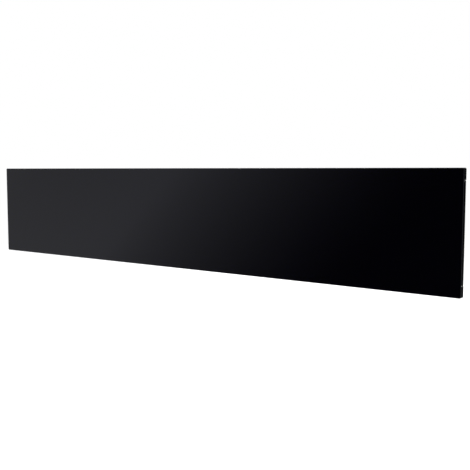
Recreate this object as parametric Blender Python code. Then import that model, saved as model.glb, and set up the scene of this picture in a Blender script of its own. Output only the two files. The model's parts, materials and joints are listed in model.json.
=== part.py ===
"""Slim linear electric fireplace for a wall opening, in metres.

A black glass front on a shallow steel tray covers a steel box that goes into the wall.
+Z is up, the front faces -Y, and X runs along the length. The wall's face is the plane y = 0,
and the origin is on the back of the box's lower wall lip, in the middle of its length.
"""

import math

import bmesh
import bpy
from mathutils import Matrix, Vector

# ---------------------------------------------------------------- driving dimensions

FRONT_WIDTH = 1.829
FRONT_HEIGHT = 0.317
FRONT_CORNER_RADIUS = 0.004
GLASS_THICKNESS = 0.003
GLASS_EDGE_GRIND = 0.0006
TAPE_THICKNESS = 0.0006
TAPE_WIDTH = 0.012
TAPE_INSET = 0.003

FRAME_DEPTH = 0.0116
FRAME_SHEET = 0.0015
FRAME_RIM = 0.020
WALL_STANDOFF = 0.001

SLIT_HEIGHT = 0.0021
SLIT_FROM_END = 0.0307
RETURN_RELIEF = 0.0012

BOX_DEPTH = 0.098
BOX_SHEET = 0.0012
SIDE_OVERHANG = 0.042
END_OVERHANG = 0.021
FLANGE_INSET = 0.008
BACK_RIB_HEIGHT = 0.002
BACK_RIB_WIDTH = 0.014
PAN_TAB = 0.012

HEATER_BAY_HEIGHT = 0.075
EMBER_FLOOR_HEIGHT = 0.032
SCREEN_DEPTH = 0.048
SCREEN_THICKNESS = 0.002
CUTOUT_PLATE_DEPTH = 0.056
CUTOUT_PLATE_THICKNESS = 0.0008

WORKS_END_ROOM = 0.1145
SPINDLE_DEPTH = 0.076
SPINDLE_HEIGHT = 0.024
SPINDLE_ROD_RADIUS = 0.002
PADDLE_RADIUS = 0.013
PADDLE_LENGTH = 0.030
PADDLE_PITCH = 0.050
PADDLE_THICKNESS = 0.0006
SPINDLE_MOTOR_RADIUS = 0.020
SPINDLE_MOTOR_LENGTH = 0.016

BLOWER_LENGTH = 0.300
BLOWER_RADIUS = 0.022
BLOWER_DEPTH = 0.066
BLOWER_HEIGHT = 0.0385
BLOWER_SHAFT_RADIUS = 0.0025
BLOWER_BLADES = 20

POD_FROM_END = 0.1545
POD_LENGTH = 0.110
BUTTON_SIZE = (0.0084, 0.0049)
BUTTON_PITCH = 0.016
BUTTON_COUNT = 3
BUTTON_TRAVEL = 0.0008
ROCKER_TILT = math.radians(8)

GLAND_THREAD_RADIUS = 0.010
GLAND_BORE_RADIUS = 0.006

FIT_GAP = 0.0003
OVERCUT = 0.001

# ---------------------------------------------------------------- places that follow from them

BOX_WIDTH = FRONT_WIDTH - 2 * SIDE_OVERHANG
BOX_HEIGHT = FRONT_HEIGHT - 2 * END_OVERHANG
WALL_LIP = END_OVERHANG - FLANGE_INSET
SILL = WALL_LIP / 2
BOX_TOP = SILL + BOX_HEIGHT
INNER_FLOOR = SILL + BOX_SHEET
INNER_TOP = BOX_TOP - BOX_SHEET
INNER_BACK = BOX_DEPTH - BOX_SHEET
INNER_HALF = BOX_WIDTH / 2 - BOX_SHEET
LINING_HALF = INNER_HALF - 0.004
FLANGE_HALF = FRONT_WIDTH / 2 - FLANGE_INSET

FRONT_BOTTOM = -SILL - FLANGE_INSET
FRONT_TOP = FRONT_BOTTOM + FRONT_HEIGHT
FRONT_MIDDLE = (FRONT_BOTTOM + FRONT_TOP) / 2
FRAME_BACK_Y = -WALL_STANDOFF
FRAME_FRONT_Y = FRAME_BACK_Y - FRAME_DEPTH
FRAME_POCKET_Y = FRAME_FRONT_Y + FRAME_SHEET
GLASS_BACK_Y = FRAME_FRONT_Y - TAPE_THICKNESS - 2 * FIT_GAP
GLASS_FRONT_Y = GLASS_BACK_Y - GLASS_THICKNESS
LIP_FRONT_Y = -BOX_SHEET
SLIT_LEVELS = (FRONT_BOTTOM + SLIT_FROM_END, FRONT_TOP - SLIT_FROM_END)

SHELF_Z = BOX_TOP - HEATER_BAY_HEIGHT
BAY_FLOOR = SHELF_Z + BOX_SHEET
EMBER_FLOOR = INNER_FLOOR + EMBER_FLOOR_HEIGHT
FASCIA_Y = 0.0015
FASCIA_BACK_Y = FASCIA_Y + BOX_SHEET
SPINDLE_REACH = FRONT_WIDTH / 2 - WORKS_END_ROOM
SPINDLE_Z = INNER_FLOOR + SPINDLE_HEIGHT
BLOWER_Z = BAY_FLOOR + BLOWER_HEIGHT
OUTLET_HALF = BLOWER_LENGTH / 2
OUTLET_LOW = BLOWER_Z + 0.006
OUTLET_HIGH = BLOWER_Z + 0.028
POD_CENTRE = FRONT_WIDTH / 2 - POD_FROM_END
GLAND_CENTRE = Vector((BOX_WIDTH / 2, 0.035, BAY_FLOOR + 0.036))


# ---------------------------------------------------------------- modelling helpers


def clear_scene():
    for obj in list(bpy.data.objects):
        bpy.data.objects.remove(obj, do_unlink=True)


def finish(name, colour, roughness, metallic):
    """A Principled material."""
    made = bpy.data.materials.new(name)
    made.use_nodes = True
    shader = made.node_tree.nodes["Principled BSDF"]
    shader.inputs["Base Color"].default_value = (*colour, 1.0)
    shader.inputs["Roughness"].default_value = roughness
    shader.inputs["Metallic"].default_value = metallic
    return made


def piece(name, bm, look):
    """Turns a bmesh into a named object that carries one material."""
    bmesh.ops.recalc_face_normals(bm, faces=bm.faces)
    mesh = bpy.data.meshes.new(name)
    bm.to_mesh(mesh)
    bm.free()
    mesh.materials.append(look)
    obj = bpy.data.objects.new(name, mesh)
    bpy.context.collection.objects.link(obj)
    return obj


def shade_round(obj, degrees=35):
    obj.data.shade_smooth()
    obj.data.set_sharp_from_angle(angle=math.radians(degrees))
    return obj


def move_origin(obj, point):
    """Puts the object's own origin at a point and leaves its shape where it is."""
    point = Vector(point)
    obj.data.transform(Matrix.Translation(-point))
    obj.location = point
    return obj


def attach(obj, parent):
    obj.parent = parent
    obj.location -= parent.location
    return obj


def empty(name, point=(0, 0, 0)):
    made = bpy.data.objects.new(name, None)
    made.empty_display_size = 0.05
    made.location = point
    bpy.context.collection.objects.link(made)
    return made


def apply_boolean(obj, bm, operation):
    """Adds a hidden tool made from the bmesh, and the Boolean that uses it."""
    tool = piece(f"{obj.name}.tool.{len(obj.modifiers) + 1}", bm, obj.data.materials[0])
    tool.hide_render = True
    tool.display_type = "WIRE"
    tool.parent = obj
    tool.location = -obj.location
    change = obj.modifiers.new(operation.title(), "BOOLEAN")
    change.object = tool
    change.operation = operation
    change.solver = "EXACT"
    return obj


def subtract(obj, bm):
    return apply_boolean(obj, bm, "DIFFERENCE")


def unite(obj, bm):
    return apply_boolean(obj, bm, "UNION")


def add_box(bm, low, high):
    low, high = Vector(low), Vector(high)
    place = Matrix.Translation((low + high) / 2) @ Matrix.Diagonal((*(high - low), 1))
    return bmesh.ops.create_cube(bm, size=1, matrix=place)["verts"]


def add_rod(bm, start, end, radius, sides=20, end_radius=None):
    """A solid cylinder, or a cone when end_radius is given, between two points."""
    start, end = Vector(start), Vector(end)
    turn = (end - start).to_track_quat("Z", "Y").to_matrix().to_4x4()
    return bmesh.ops.create_cone(
        bm,
        cap_ends=True,
        segments=sides,
        radius1=radius,
        radius2=radius if end_radius is None else end_radius,
        depth=(end - start).length,
        matrix=Matrix.Translation((start + end) / 2) @ turn,
    )["verts"]


def add_prism(bm, outline, axis, start, end):
    """Extrudes a closed outline along X, Y or Z. Its points are the other two coordinates, in order."""
    across = {"X": (1, 2), "Y": (0, 2), "Z": (0, 1)}[axis]
    along = "XYZ".index(axis)
    points = []
    for first, second in outline:
        point = [0.0, 0.0, 0.0]
        point[across[0]], point[across[1]], point[along] = first, second, start
        points.append(bm.verts.new(point))
    face = bm.faces.new(points)
    made = bmesh.ops.extrude_face_region(bm, geom=[face])["geom"]
    moved = [item for item in made if isinstance(item, bmesh.types.BMVert)]
    step = [0.0, 0.0, 0.0]
    step[along] = end - start
    bmesh.ops.translate(bm, verts=moved, vec=step)
    return points + moved


def add_ring(bm, profile, start, direction, sides=20):
    """Turns a closed (along, radius) profile, clear of the axis, into a ring round a line."""
    start, direction = Vector(start), Vector(direction).normalized()
    turn = direction.to_track_quat("Z", "Y").to_matrix()
    rings = []
    for side in range(sides):
        angle = 2 * math.pi * side / sides
        spoke = turn @ Vector((math.cos(angle), math.sin(angle), 0))
        rings.append([bm.verts.new(start + direction * along + spoke * radius) for along, radius in profile])
    for side, ring in enumerate(rings):
        following = rings[(side + 1) % sides]
        for corner in range(len(profile)):
            beyond = (corner + 1) % len(profile)
            bm.faces.new((ring[corner], ring[beyond], following[beyond], following[corner]))


def box_piece(name, low, high, look, edge=0.0):
    bm = bmesh.new()
    add_box(bm, low, high)
    if edge:
        bmesh.ops.bevel(bm, geom=bm.edges[:], offset=edge, segments=2, profile=0.5, affect="EDGES")
    return move_origin(piece(name, bm, look), (Vector(low) + Vector(high)) / 2)


def rod_piece(name, start, end, radius, look, sides=20):
    bm = bmesh.new()
    add_rod(bm, start, end, radius, sides)
    return shade_round(move_origin(piece(name, bm, look), (Vector(start) + Vector(end)) / 2))


def ring_piece(name, profile, start, direction, look, sides=20):
    bm = bmesh.new()
    add_ring(bm, profile, start, direction, sides)
    return shade_round(move_origin(piece(name, bm, look), start))


def sheet_outline(path, thickness):
    """The closed outline of a sheet that is bent along a path, as thick to the left of the path."""
    left = []
    for index, point in enumerate(path):
        here = Vector(point)
        before = (here - Vector(path[index - 1])).normalized() if index else None
        after = (Vector(path[index + 1]) - here).normalized() if index < len(path) - 1 else None
        before, after = before or after, after or before
        normal = Vector((-before.y, before.x)) + Vector((-after.y, after.x))
        normal /= normal.length_squared / 2
        left.append(here + normal * thickness)
    return [tuple(point) for point in path] + [tuple(point) for point in reversed(left)]


def sheet_piece(name, path, thickness, axis, start, end, look):
    bm = bmesh.new()
    add_prism(bm, sheet_outline(path, thickness), axis, start, end)
    return piece(name, bm, look)


def rounded_rectangle(half_width, low, high, radius, steps=4):
    """Corner points of a rectangle centred on x = 0 with round corners."""
    corners = (
        (half_width - radius, high - radius, 0),
        (-half_width + radius, high - radius, 90),
        (-half_width + radius, low + radius, 180),
        (half_width - radius, low + radius, 270),
    )
    points = []
    for x, z, first in corners:
        for step in range(steps + 1):
            angle = math.radians(first + 90 * step / steps)
            points.append((x + radius * math.cos(angle), z + radius * math.sin(angle)))
    return points


def row(count, pitch, centre=0.0):
    """Evenly spaced places about a centre."""
    return [centre + pitch * (index - (count - 1) / 2) for index in range(count)]


def wire_piece(name, points, radius, look):
    """A plain lead that follows a smooth curve through the points."""
    dense = smooth_route(points, 4)
    data = bpy.data.curves.new(name, "CURVE")
    data.dimensions = "3D"
    data.bevel_depth = radius
    data.bevel_resolution = 2
    data.use_fill_caps = True
    spline = data.splines.new("POLY")
    spline.points.add(len(dense) - 1)
    for spot, point in zip(spline.points, dense):
        spot.co = (*point, 1.0)
    data.materials.append(look)
    obj = bpy.data.objects.new(name, data)
    bpy.context.collection.objects.link(obj)
    return obj


def smooth_route(points, steps):
    """Catmull-Rom points through the given ones."""
    given = [Vector(point) for point in points]
    given = [2 * given[0] - given[1], *given, 2 * given[-1] - given[-2]]
    route = []
    for a, b, c, d in zip(given, given[1:], given[2:], given[3:]):
        for step in range(steps):
            t = step / steps
            square, cube = t**2, t**3
            bend = (2 * a - 5 * b + 4 * c - d) * square + (3 * b - a - 3 * c + d) * cube
            route.append(0.5 * (2 * b + (c - a) * t + bend))
    return [*route, given[-2]]


# ---------------------------------------------------------------- the front that pulls off


def make_glass_front(looks):
    """Tempered glass over the whole front, its edges ground."""
    bm = bmesh.new()
    outline = rounded_rectangle(FRONT_WIDTH / 2, FRONT_BOTTOM, FRONT_TOP, FRONT_CORNER_RADIUS)
    add_prism(bm, outline, "Y", GLASS_FRONT_Y, GLASS_BACK_Y)
    rim = [edge for edge in bm.edges if abs(edge.verts[0].co.y - edge.verts[1].co.y) < 1e-6]
    bmesh.ops.bevel(bm, geom=rim, offset=GLASS_EDGE_GRIND, segments=1, affect="EDGES")
    return move_origin(piece("glass_front", bm, looks["glass"]), (0, GLASS_FRONT_Y, FRONT_MIDDLE))


def make_glass_tape(looks):
    """The ring of bonding tape between the glass and the frame's rim."""
    half, low, high = FRONT_WIDTH / 2 - TAPE_INSET, FRONT_BOTTOM + TAPE_INSET, FRONT_TOP - TAPE_INSET
    bm = bmesh.new()
    add_box(bm, (-half, FRAME_FRONT_Y - FIT_GAP - TAPE_THICKNESS, low), (half, FRAME_FRONT_Y - FIT_GAP, high))
    tape = move_origin(piece("glass_tape", bm, looks["tape"]), (0, FRAME_FRONT_Y, FRONT_MIDDLE))
    hole = bmesh.new()
    add_box(
        hole,
        (-half + TAPE_WIDTH, GLASS_BACK_Y - OVERCUT, low + TAPE_WIDTH),
        (half - TAPE_WIDTH, FRAME_FRONT_Y + OVERCUT, high - TAPE_WIDTH),
    )
    return subtract(tape, hole)


def make_front_frame(looks):
    """Folded steel tray: a rim behind the glass, and a return on all four sides."""
    half = FRONT_WIDTH / 2
    bm = bmesh.new()
    outline = rounded_rectangle(half, FRONT_BOTTOM, FRONT_TOP, FRONT_CORNER_RADIUS)
    add_prism(bm, outline, "Y", FRAME_FRONT_Y, FRAME_BACK_Y)
    frame = move_origin(piece("front_frame", bm, looks["black_steel"]), (0, FRAME_BACK_Y, FRONT_MIDDLE))

    pocket = bmesh.new()
    inner = rounded_rectangle(
        half - FRAME_SHEET,
        FRONT_BOTTOM + FRAME_SHEET,
        FRONT_TOP - FRAME_SHEET,
        FRONT_CORNER_RADIUS - FRAME_SHEET,
        steps=2,
    )
    add_prism(pocket, inner, "Y", FRAME_POCKET_Y, FRAME_BACK_Y + OVERCUT)
    subtract(frame, pocket)

    window = bmesh.new()
    add_box(
        window,
        (-half + FRAME_RIM, FRAME_FRONT_Y - OVERCUT, FRONT_BOTTOM + FRAME_RIM),
        (half - FRAME_RIM, FRAME_BACK_Y, FRONT_TOP - FRAME_RIM),
    )
    subtract(frame, window)

    # Between its slits an end return stops short of the wall, so that only its corners can touch it.
    relief = bmesh.new()
    add_end_cuts(relief, FRAME_BACK_Y - RETURN_RELIEF, *SLIT_LEVELS)
    subtract(frame, relief)

    openings = bmesh.new()
    add_support_slits(openings)
    add_air_slots(openings)
    add_pod_notch(openings)
    return subtract(frame, openings)


def add_support_slits(bm):
    """Two slits in each end return, open at the back, that slide over the support brackets."""
    for level in SLIT_LEVELS:
        add_end_cuts(bm, FRAME_FRONT_Y - OVERCUT, level - SLIT_HEIGHT / 2, level + SLIT_HEIGHT / 2)


def add_end_cuts(bm, front, low, high):
    """Cuts through both end returns, open at the back."""
    outer, inner = FRONT_WIDTH / 2 + OVERCUT, FRONT_WIDTH / 2 - FRAME_SHEET - OVERCUT
    for near, far in ((-outer, -inner), (inner, outer)):
        add_box(bm, (near, front, low), (far, FRAME_BACK_Y + OVERCUT, high))


AIR_SLOT = (0.020, 0.0036)
AIR_SLOT_PITCH = 0.026
WARM_AIR_SLOTS = 13
COOL_AIR_SLOTS = 17


def add_air_slots(bm):
    """Warm air leaves through the top return, and cool air comes in through the bottom one."""
    middle = (FRAME_POCKET_Y + FRAME_BACK_Y) / 2
    returns = (
        (FRONT_TOP - FRAME_SHEET - OVERCUT, FRONT_TOP + OVERCUT, WARM_AIR_SLOTS),
        (FRONT_BOTTOM - OVERCUT, FRONT_BOTTOM + FRAME_SHEET + OVERCUT, COOL_AIR_SLOTS),
    )
    for low, high, count in returns:
        for x in row(count, AIR_SLOT_PITCH):
            add_box(
                bm,
                (x - AIR_SLOT[0] / 2, middle - AIR_SLOT[1] / 2, low),
                (x + AIR_SLOT[0] / 2, middle + AIR_SLOT[1] / 2, high),
            )


def add_pod_notch(bm):
    """A notch in the bottom return, open at the back, that clears the control pod."""
    half = POD_LENGTH / 2 + OVERCUT
    add_box(
        bm,
        (POD_CENTRE - half, FRAME_POCKET_Y, FRONT_BOTTOM - OVERCUT),
        (POD_CENTRE + half, FRAME_BACK_Y + OVERCUT, FRONT_BOTTOM + FRAME_SHEET + OVERCUT),
    )


# ---------------------------------------------------------------- the box in the wall

FIXING_HOLE_RADIUS = 0.0025
LIP_HOLES = 4
LIP_HOLE_FROM_END = 0.1525
LIP_HOLE_PITCH = (BOX_WIDTH - 2 * LIP_HOLE_FROM_END) / (LIP_HOLES - 1)
SIDE_LIP_HOLES = 3
SIDE_LIP_HOLE_PITCH = 0.100
BACK_SLOT = (0.0035, 0.030)
BACK_SLOT_PITCH = 0.010
BACK_SLOT_COUNT = 9
BACK_SLOT_CENTRES = (-0.42, 0.0, 0.42)
WIRING_WINDOW = (0.090, 0.040)
WIRING_FROM_END = 0.0925
WIRING_CENTRE = Vector((BOX_WIDTH / 2 - WIRING_FROM_END, BOX_DEPTH, (BAY_FLOOR + INNER_TOP) / 2))


def make_firebox_shell(looks):
    """Floor, back and roof in one bent sheet, with a wall lip turned out along its two front edges."""
    half = INNER_HALF - FIT_GAP
    path = (
        (0, -SILL),
        (0, SILL),
        (BOX_DEPTH, SILL),
        (BOX_DEPTH, BOX_TOP),
        (0, BOX_TOP),
        (0, BOX_TOP + WALL_LIP),
    )
    shell = sheet_piece("firebox_shell", path, BOX_SHEET, "X", -half, half, looks["zinc_sheet"])
    unite(shell, back_ribs())
    return subtract(shell, shell_holes())


def back_ribs():
    """Two long pressed ribs that stiffen the back."""
    bm = bmesh.new()
    reach = INNER_HALF - 0.080
    for level in (SILL + 0.045, SILL + BOX_HEIGHT - HEATER_BAY_HEIGHT - 0.012):
        outline = (
            (BOX_DEPTH - BOX_SHEET / 2, level - BACK_RIB_WIDTH / 2),
            (BOX_DEPTH, level - BACK_RIB_WIDTH / 2),
            (BOX_DEPTH + BACK_RIB_HEIGHT, level - BACK_RIB_WIDTH / 4),
            (BOX_DEPTH + BACK_RIB_HEIGHT, level + BACK_RIB_WIDTH / 4),
            (BOX_DEPTH, level + BACK_RIB_WIDTH / 2),
            (BOX_DEPTH - BOX_SHEET / 2, level + BACK_RIB_WIDTH / 2),
        )
        add_prism(bm, outline, "X", -reach, reach)
    return bm


def shell_holes():
    """Fixing holes in the lips, cooling slots and the wiring window in the back."""
    bm = bmesh.new()
    for level in (0, BOX_TOP + WALL_LIP / 2):
        for x in row(LIP_HOLES, LIP_HOLE_PITCH):
            add_rod(bm, (x, LIP_FRONT_Y - OVERCUT, level), (x, OVERCUT, level), FIXING_HOLE_RADIUS, 12)
    middle = (BAY_FLOOR + INNER_TOP) / 2
    for centre in BACK_SLOT_CENTRES:
        for x in row(BACK_SLOT_COUNT, BACK_SLOT_PITCH, centre):
            add_box(
                bm,
                (x - BACK_SLOT[0] / 2, INNER_BACK - OVERCUT, middle - BACK_SLOT[1] / 2),
                (x + BACK_SLOT[0] / 2, BOX_DEPTH + OVERCUT, middle + BACK_SLOT[1] / 2),
            )
    add_box(
        bm,
        (WIRING_CENTRE.x - WIRING_WINDOW[0] / 2, INNER_BACK - OVERCUT, middle - WIRING_WINDOW[1] / 2),
        (WIRING_CENTRE.x + WIRING_WINDOW[0] / 2, BOX_DEPTH + OVERCUT, middle + WIRING_WINDOW[1] / 2),
    )
    return bm


def make_end_panel(name, side, looks):
    """The end of the box: a pan whose tabs go inside the shell, with a wide wall lip turned out."""
    gap = BOX_SHEET + FIT_GAP
    outer, tab_end = BOX_WIDTH / 2, BOX_WIDTH / 2 - BOX_SHEET - PAN_TAB
    bm = bmesh.new()
    add_box(
        bm,
        (min(side * outer, side * tab_end), LIP_FRONT_Y / 2, SILL + gap),
        (max(side * outer, side * tab_end), BOX_DEPTH - gap, BOX_TOP - gap),
    )
    panel = move_origin(piece(name, bm, looks["zinc_sheet"]), (side * outer, 0, (SILL + BOX_TOP) / 2))
    hollow = bmesh.new()
    inner, open_end = BOX_WIDTH / 2 - BOX_SHEET, tab_end - OVERCUT
    add_box(
        hollow,
        (min(side * inner, side * open_end), LIP_FRONT_Y - OVERCUT, SILL + gap + BOX_SHEET),
        (max(side * inner, side * open_end), BOX_DEPTH - gap - BOX_SHEET, BOX_TOP - gap - BOX_SHEET),
    )
    subtract(panel, hollow)
    lip = bmesh.new()
    add_box(
        lip,
        (min(side * inner, side * FLANGE_HALF), LIP_FRONT_Y, -SILL),
        (max(side * inner, side * FLANGE_HALF), 0, BOX_TOP + WALL_LIP),
    )
    unite(panel, lip)
    holes = bmesh.new()
    x = side * (BOX_WIDTH / 2 + FLANGE_HALF) / 2
    for z in row(SIDE_LIP_HOLES, SIDE_LIP_HOLE_PITCH, (SILL + BOX_TOP) / 2):
        add_rod(holes, (x, LIP_FRONT_Y - OVERCUT, z), (x, OVERCUT, z), FIXING_HOLE_RADIUS, 12)
    if side > 0:
        reach = Vector((BOX_SHEET + OVERCUT, 0, 0))
        add_rod(holes, GLAND_CENTRE - reach, GLAND_CENTRE + reach, GLAND_THREAD_RADIUS + FIT_GAP, 20)
    return subtract(panel, holes)


def make_heater_bay_shelf(looks):
    """The shelf that divides the flame chamber from the heater bay, its back edge turned up."""
    depth = INNER_BACK - FIT_GAP
    path = ((depth, BAY_FLOOR + 0.012), (depth, SHELF_Z), (FASCIA_BACK_Y + FIT_GAP, SHELF_Z))
    half = INNER_HALF - PAN_TAB - FIT_GAP
    return sheet_piece("heater_bay_shelf", path, -BOX_SHEET, "X", -half, half, looks["zinc_sheet"])


FASCIA_DROP = 0.010
RECEIVER_X = 0.240
RECEIVER_RADIUS = 0.004


def make_upper_fascia(looks):
    """The black panel in front of the heater bay, with the warm air outlet and the receiver's hole."""
    half = INNER_HALF - 2 * FIT_GAP - BOX_SHEET
    low, high = SHELF_Z - FASCIA_DROP, INNER_TOP - 2 * FIT_GAP - BOX_SHEET
    fascia = box_piece(
        "upper_fascia", (-half, FASCIA_Y, low), (half, FASCIA_BACK_Y, high), looks["black_steel"]
    )
    holes = bmesh.new()
    add_box(
        holes,
        (-OUTLET_HALF, FASCIA_Y - OVERCUT, OUTLET_LOW),
        (OUTLET_HALF, FASCIA_BACK_Y + OVERCUT, OUTLET_HIGH),
    )
    middle = (OUTLET_LOW + OUTLET_HIGH) / 2
    add_rod(
        holes,
        (RECEIVER_X, FASCIA_Y - OVERCUT, middle),
        (RECEIVER_X, FASCIA_BACK_Y + OVERCUT, middle),
        RECEIVER_RADIUS + FIT_GAP,
        16,
    )
    return subtract(fascia, holes)


PLINTH_RISE = 0.012


def make_lower_fascia(looks):
    """The black plinth in front of the ember lights, with cool air slots. It keeps the crystals in."""
    half = INNER_HALF - 2 * FIT_GAP - BOX_SHEET
    low, high = INNER_FLOOR + 2 * FIT_GAP + BOX_SHEET, EMBER_FLOOR + PLINTH_RISE
    fascia = box_piece(
        "lower_fascia", (-half, FASCIA_Y, low), (half, FASCIA_BACK_Y, high), looks["black_steel"]
    )
    holes = bmesh.new()
    middle = (low + EMBER_FLOOR) / 2
    for x in row(COOL_AIR_SLOTS, AIR_SLOT_PITCH):
        add_box(
            holes,
            (x - AIR_SLOT[0] / 2, FASCIA_Y - OVERCUT, middle - AIR_SLOT[1] / 2),
            (x + AIR_SLOT[0] / 2, FASCIA_BACK_Y + OVERCUT, middle + AIR_SLOT[1] / 2),
        )
    return subtract(fascia, holes)


BRACKET_SHEET = 0.0015
BRACKET_LENGTH = 0.026
BRACKET_HEIGHT = 0.018
BRACKET_REACH = 0.0060
BRACKET_RECESS = 0.0006


def make_support_bracket(name, side, level, looks):
    """Zinc angle on the wall lip. Its level leg lies in the front's slit and carries the front."""
    back = LIP_FRONT_Y - FIT_GAP
    root = FLANGE_HALF - BRACKET_LENGTH
    tip = FRONT_WIDTH / 2 - BRACKET_RECESS
    half_sheet = BRACKET_SHEET / 2
    bm = bmesh.new()
    add_box(
        bm,
        (min(side * root, side * tip), back - BRACKET_REACH, level - half_sheet),
        (max(side * root, side * tip), back - half_sheet, level + half_sheet),
    )
    bracket = move_origin(piece(name, bm, looks["bright_zinc"]), (side * FLANGE_HALF, back, level))
    leg = bmesh.new()
    near, far = root - half_sheet, FLANGE_HALF - FIT_GAP
    add_box(
        leg,
        (min(side * near, side * far), back - BRACKET_SHEET, level - BRACKET_SHEET),
        (max(side * near, side * far), back, level + BRACKET_HEIGHT),
    )
    return unite(bracket, leg)


MAGNET_RADIUS = 0.0055


def make_magnet(name, side, looks):
    """A cup magnet on the wall lip, just behind the steel rim that it holds."""
    x = side * (FRONT_WIDTH / 2 - FRAME_RIM + MAGNET_RADIUS + 0.002)
    return rod_piece(
        name,
        (x, LIP_FRONT_Y - FIT_GAP, FRONT_MIDDLE),
        (x, FRAME_POCKET_Y + FIT_GAP, FRONT_MIDDLE),
        MAGNET_RADIUS,
        looks["bright_zinc"],
    )


# ---------------------------------------------------------------- flame effect

LED_PITCH = 0.050
LED_SIZE = 0.0035
LED_HEIGHT = 0.0015
LED_BOARD = (0.010, 0.0016)


def make_light_strip(name, y, z, facing, looks):
    """A long circuit board with a row of LEDs. facing is 1 for up and -1 for down."""
    half = SPINDLE_REACH - 0.010
    width, thick = LED_BOARD
    near, far = sorted((z, z + facing * thick))
    strip = box_piece(
        name, (-half, y - width / 2, near), (half, y + width / 2, far), looks["circuit_board"]
    )
    lamps = bmesh.new()
    for x in row(int(2 * half / LED_PITCH), LED_PITCH):
        near, far = sorted((z + facing * thick / 2, z + facing * (thick + LED_HEIGHT)))
        add_box(
            lamps,
            (x - LED_SIZE / 2, y - LED_SIZE / 2, near),
            (x + LED_SIZE / 2, y + LED_SIZE / 2, far),
        )
    return unite(strip, lamps)


def make_flame_screen(looks):
    """The translucent screen that the flames show on."""
    low, high = INNER_FLOOR + BOX_SHEET + 2 * FIT_GAP, SHELF_Z - FIT_GAP
    half = INNER_HALF - PAN_TAB - FIT_GAP
    return box_piece(
        "flame_screen",
        (-half, SCREEN_DEPTH, low),
        (half, SCREEN_DEPTH + SCREEN_THICKNESS, high),
        looks["diffuser"],
    )


FLAME_COUNT = 18
FLAME_SWAY = 0.012
FLAME_SHAPE = (
    (-0.30, 0.00),
    (-0.46, 0.16),
    (-0.36, 0.42),
    (-0.13, 0.70),
    (0.00, 1.00),
    (0.13, 0.74),
    (0.20, 0.52),
    (0.43, 0.30),
    (0.42, 0.12),
    (0.28, 0.00),
)


def flame_outline(centre, foot, width, height, sway):
    """A flame: broad at the foot, waisted near the tip, and swaying to one side."""
    points = smooth_route([(centre + width * x, foot + height * y, 0) for x, y in FLAME_SHAPE], 2)
    return [(x + sway * math.sin(3 * (z - foot) / height), z) for x, z, _ in points]


def make_flame_cutout_plate(looks):
    """The bright plate whose flame-shaped holes pattern the light on its way to the screen."""
    back = CUTOUT_PLATE_DEPTH + CUTOUT_PLATE_THICKNESS
    half = SPINDLE_REACH
    low, high = INNER_FLOOR + 0.050, SHELF_Z - 0.010
    bright = looks["polished_aluminium"]
    plate = box_piece("flame_cutout_plate", (-half, CUTOUT_PLATE_DEPTH, low), (half, back, high), bright)
    pitch = 2 * half / FLAME_COUNT
    flames = bmesh.new()
    for index, x in enumerate(row(FLAME_COUNT, pitch)):
        swing = math.sin(2.4 * index)
        height = (high - low - 0.022) * (0.80 + 0.20 * swing)
        outline = flame_outline(x, low + 0.010, 0.72 * pitch, height, FLAME_SWAY * math.cos(1.7 * index))
        add_prism(flames, outline, "Y", CUTOUT_PLATE_DEPTH - OVERCUT, back + OVERCUT)
    return subtract(plate, flames)


COUPLING_LENGTH = 0.016
COUPLING_RADIUS = 0.005


def make_flame_spindle(looks):
    """The turning rod, with bright paddles set round it at a growing angle."""
    centre = Vector((0, SPINDLE_DEPTH, SPINDLE_Z))
    rod_end = Vector((SPINDLE_REACH, 0, 0))
    bm = bmesh.new()
    add_rod(bm, centre - rod_end, centre + rod_end, SPINDLE_ROD_RADIUS, 12)
    spindle = shade_round(move_origin(piece("flame_spindle", bm, looks["polished_aluminium"]), centre))
    paddles = bmesh.new()
    count = int((SPINDLE_REACH - 0.030) / PADDLE_PITCH)
    for side in (-1, 1):
        for index in range(count):
            x = side * (PADDLE_PITCH * (index + 0.8))
            verts = add_box(
                paddles,
                (x - PADDLE_LENGTH / 2, -PADDLE_RADIUS, -PADDLE_THICKNESS / 2),
                (x + PADDLE_LENGTH / 2, PADDLE_RADIUS, PADDLE_THICKNESS / 2),
            )
            turn = Matrix.Rotation(math.radians(57 * index + 90 * (side > 0)), 4, "X")
            twist = Matrix.Translation(centre) @ turn
            bmesh.ops.transform(paddles, matrix=twist, verts=verts)
    return unite(spindle, paddles)


def make_spindle_coupling(looks):
    """A sleeve on the rod's end whose stub goes into the motor."""
    start = SPINDLE_REACH - COUPLING_LENGTH / 2
    floor = SPINDLE_REACH + 0.001
    end = start + COUPLING_LENGTH
    bore = SPINDLE_ROD_RADIUS + FIT_GAP
    centre = Vector((start, SPINDLE_DEPTH, SPINDLE_Z))
    bm = bmesh.new()
    add_rod(bm, centre, centre + Vector((end - start, 0, 0)), COUPLING_RADIUS, 16)
    coupling = shade_round(move_origin(piece("spindle_coupling", bm, looks["rubber"]), centre))
    hole = bmesh.new()
    add_rod(hole, centre - Vector((OVERCUT, 0, 0)), centre + Vector((floor - start, 0, 0)), bore, 16)
    subtract(coupling, hole)
    stub = bmesh.new()
    stub_start = centre + Vector((end - start - 0.002, 0, 0))
    add_rod(stub, stub_start, stub_start + Vector((0.014, 0, 0)), SPINDLE_ROD_RADIUS, 16)
    return unite(coupling, stub)


SPINDLE_BRACKET_X = SPINDLE_REACH + COUPLING_LENGTH / 2 + 0.003
SPINDLE_BEARING_RADIUS = 0.005
SPINDLE_BEARING_LENGTH = 0.007
SPINDLE_BEARING_PLACES = (-SPINDLE_REACH + 0.014, 0.0)
BEARING_PLATE = 0.0012
BEARING_FOOT = 0.012


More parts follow.
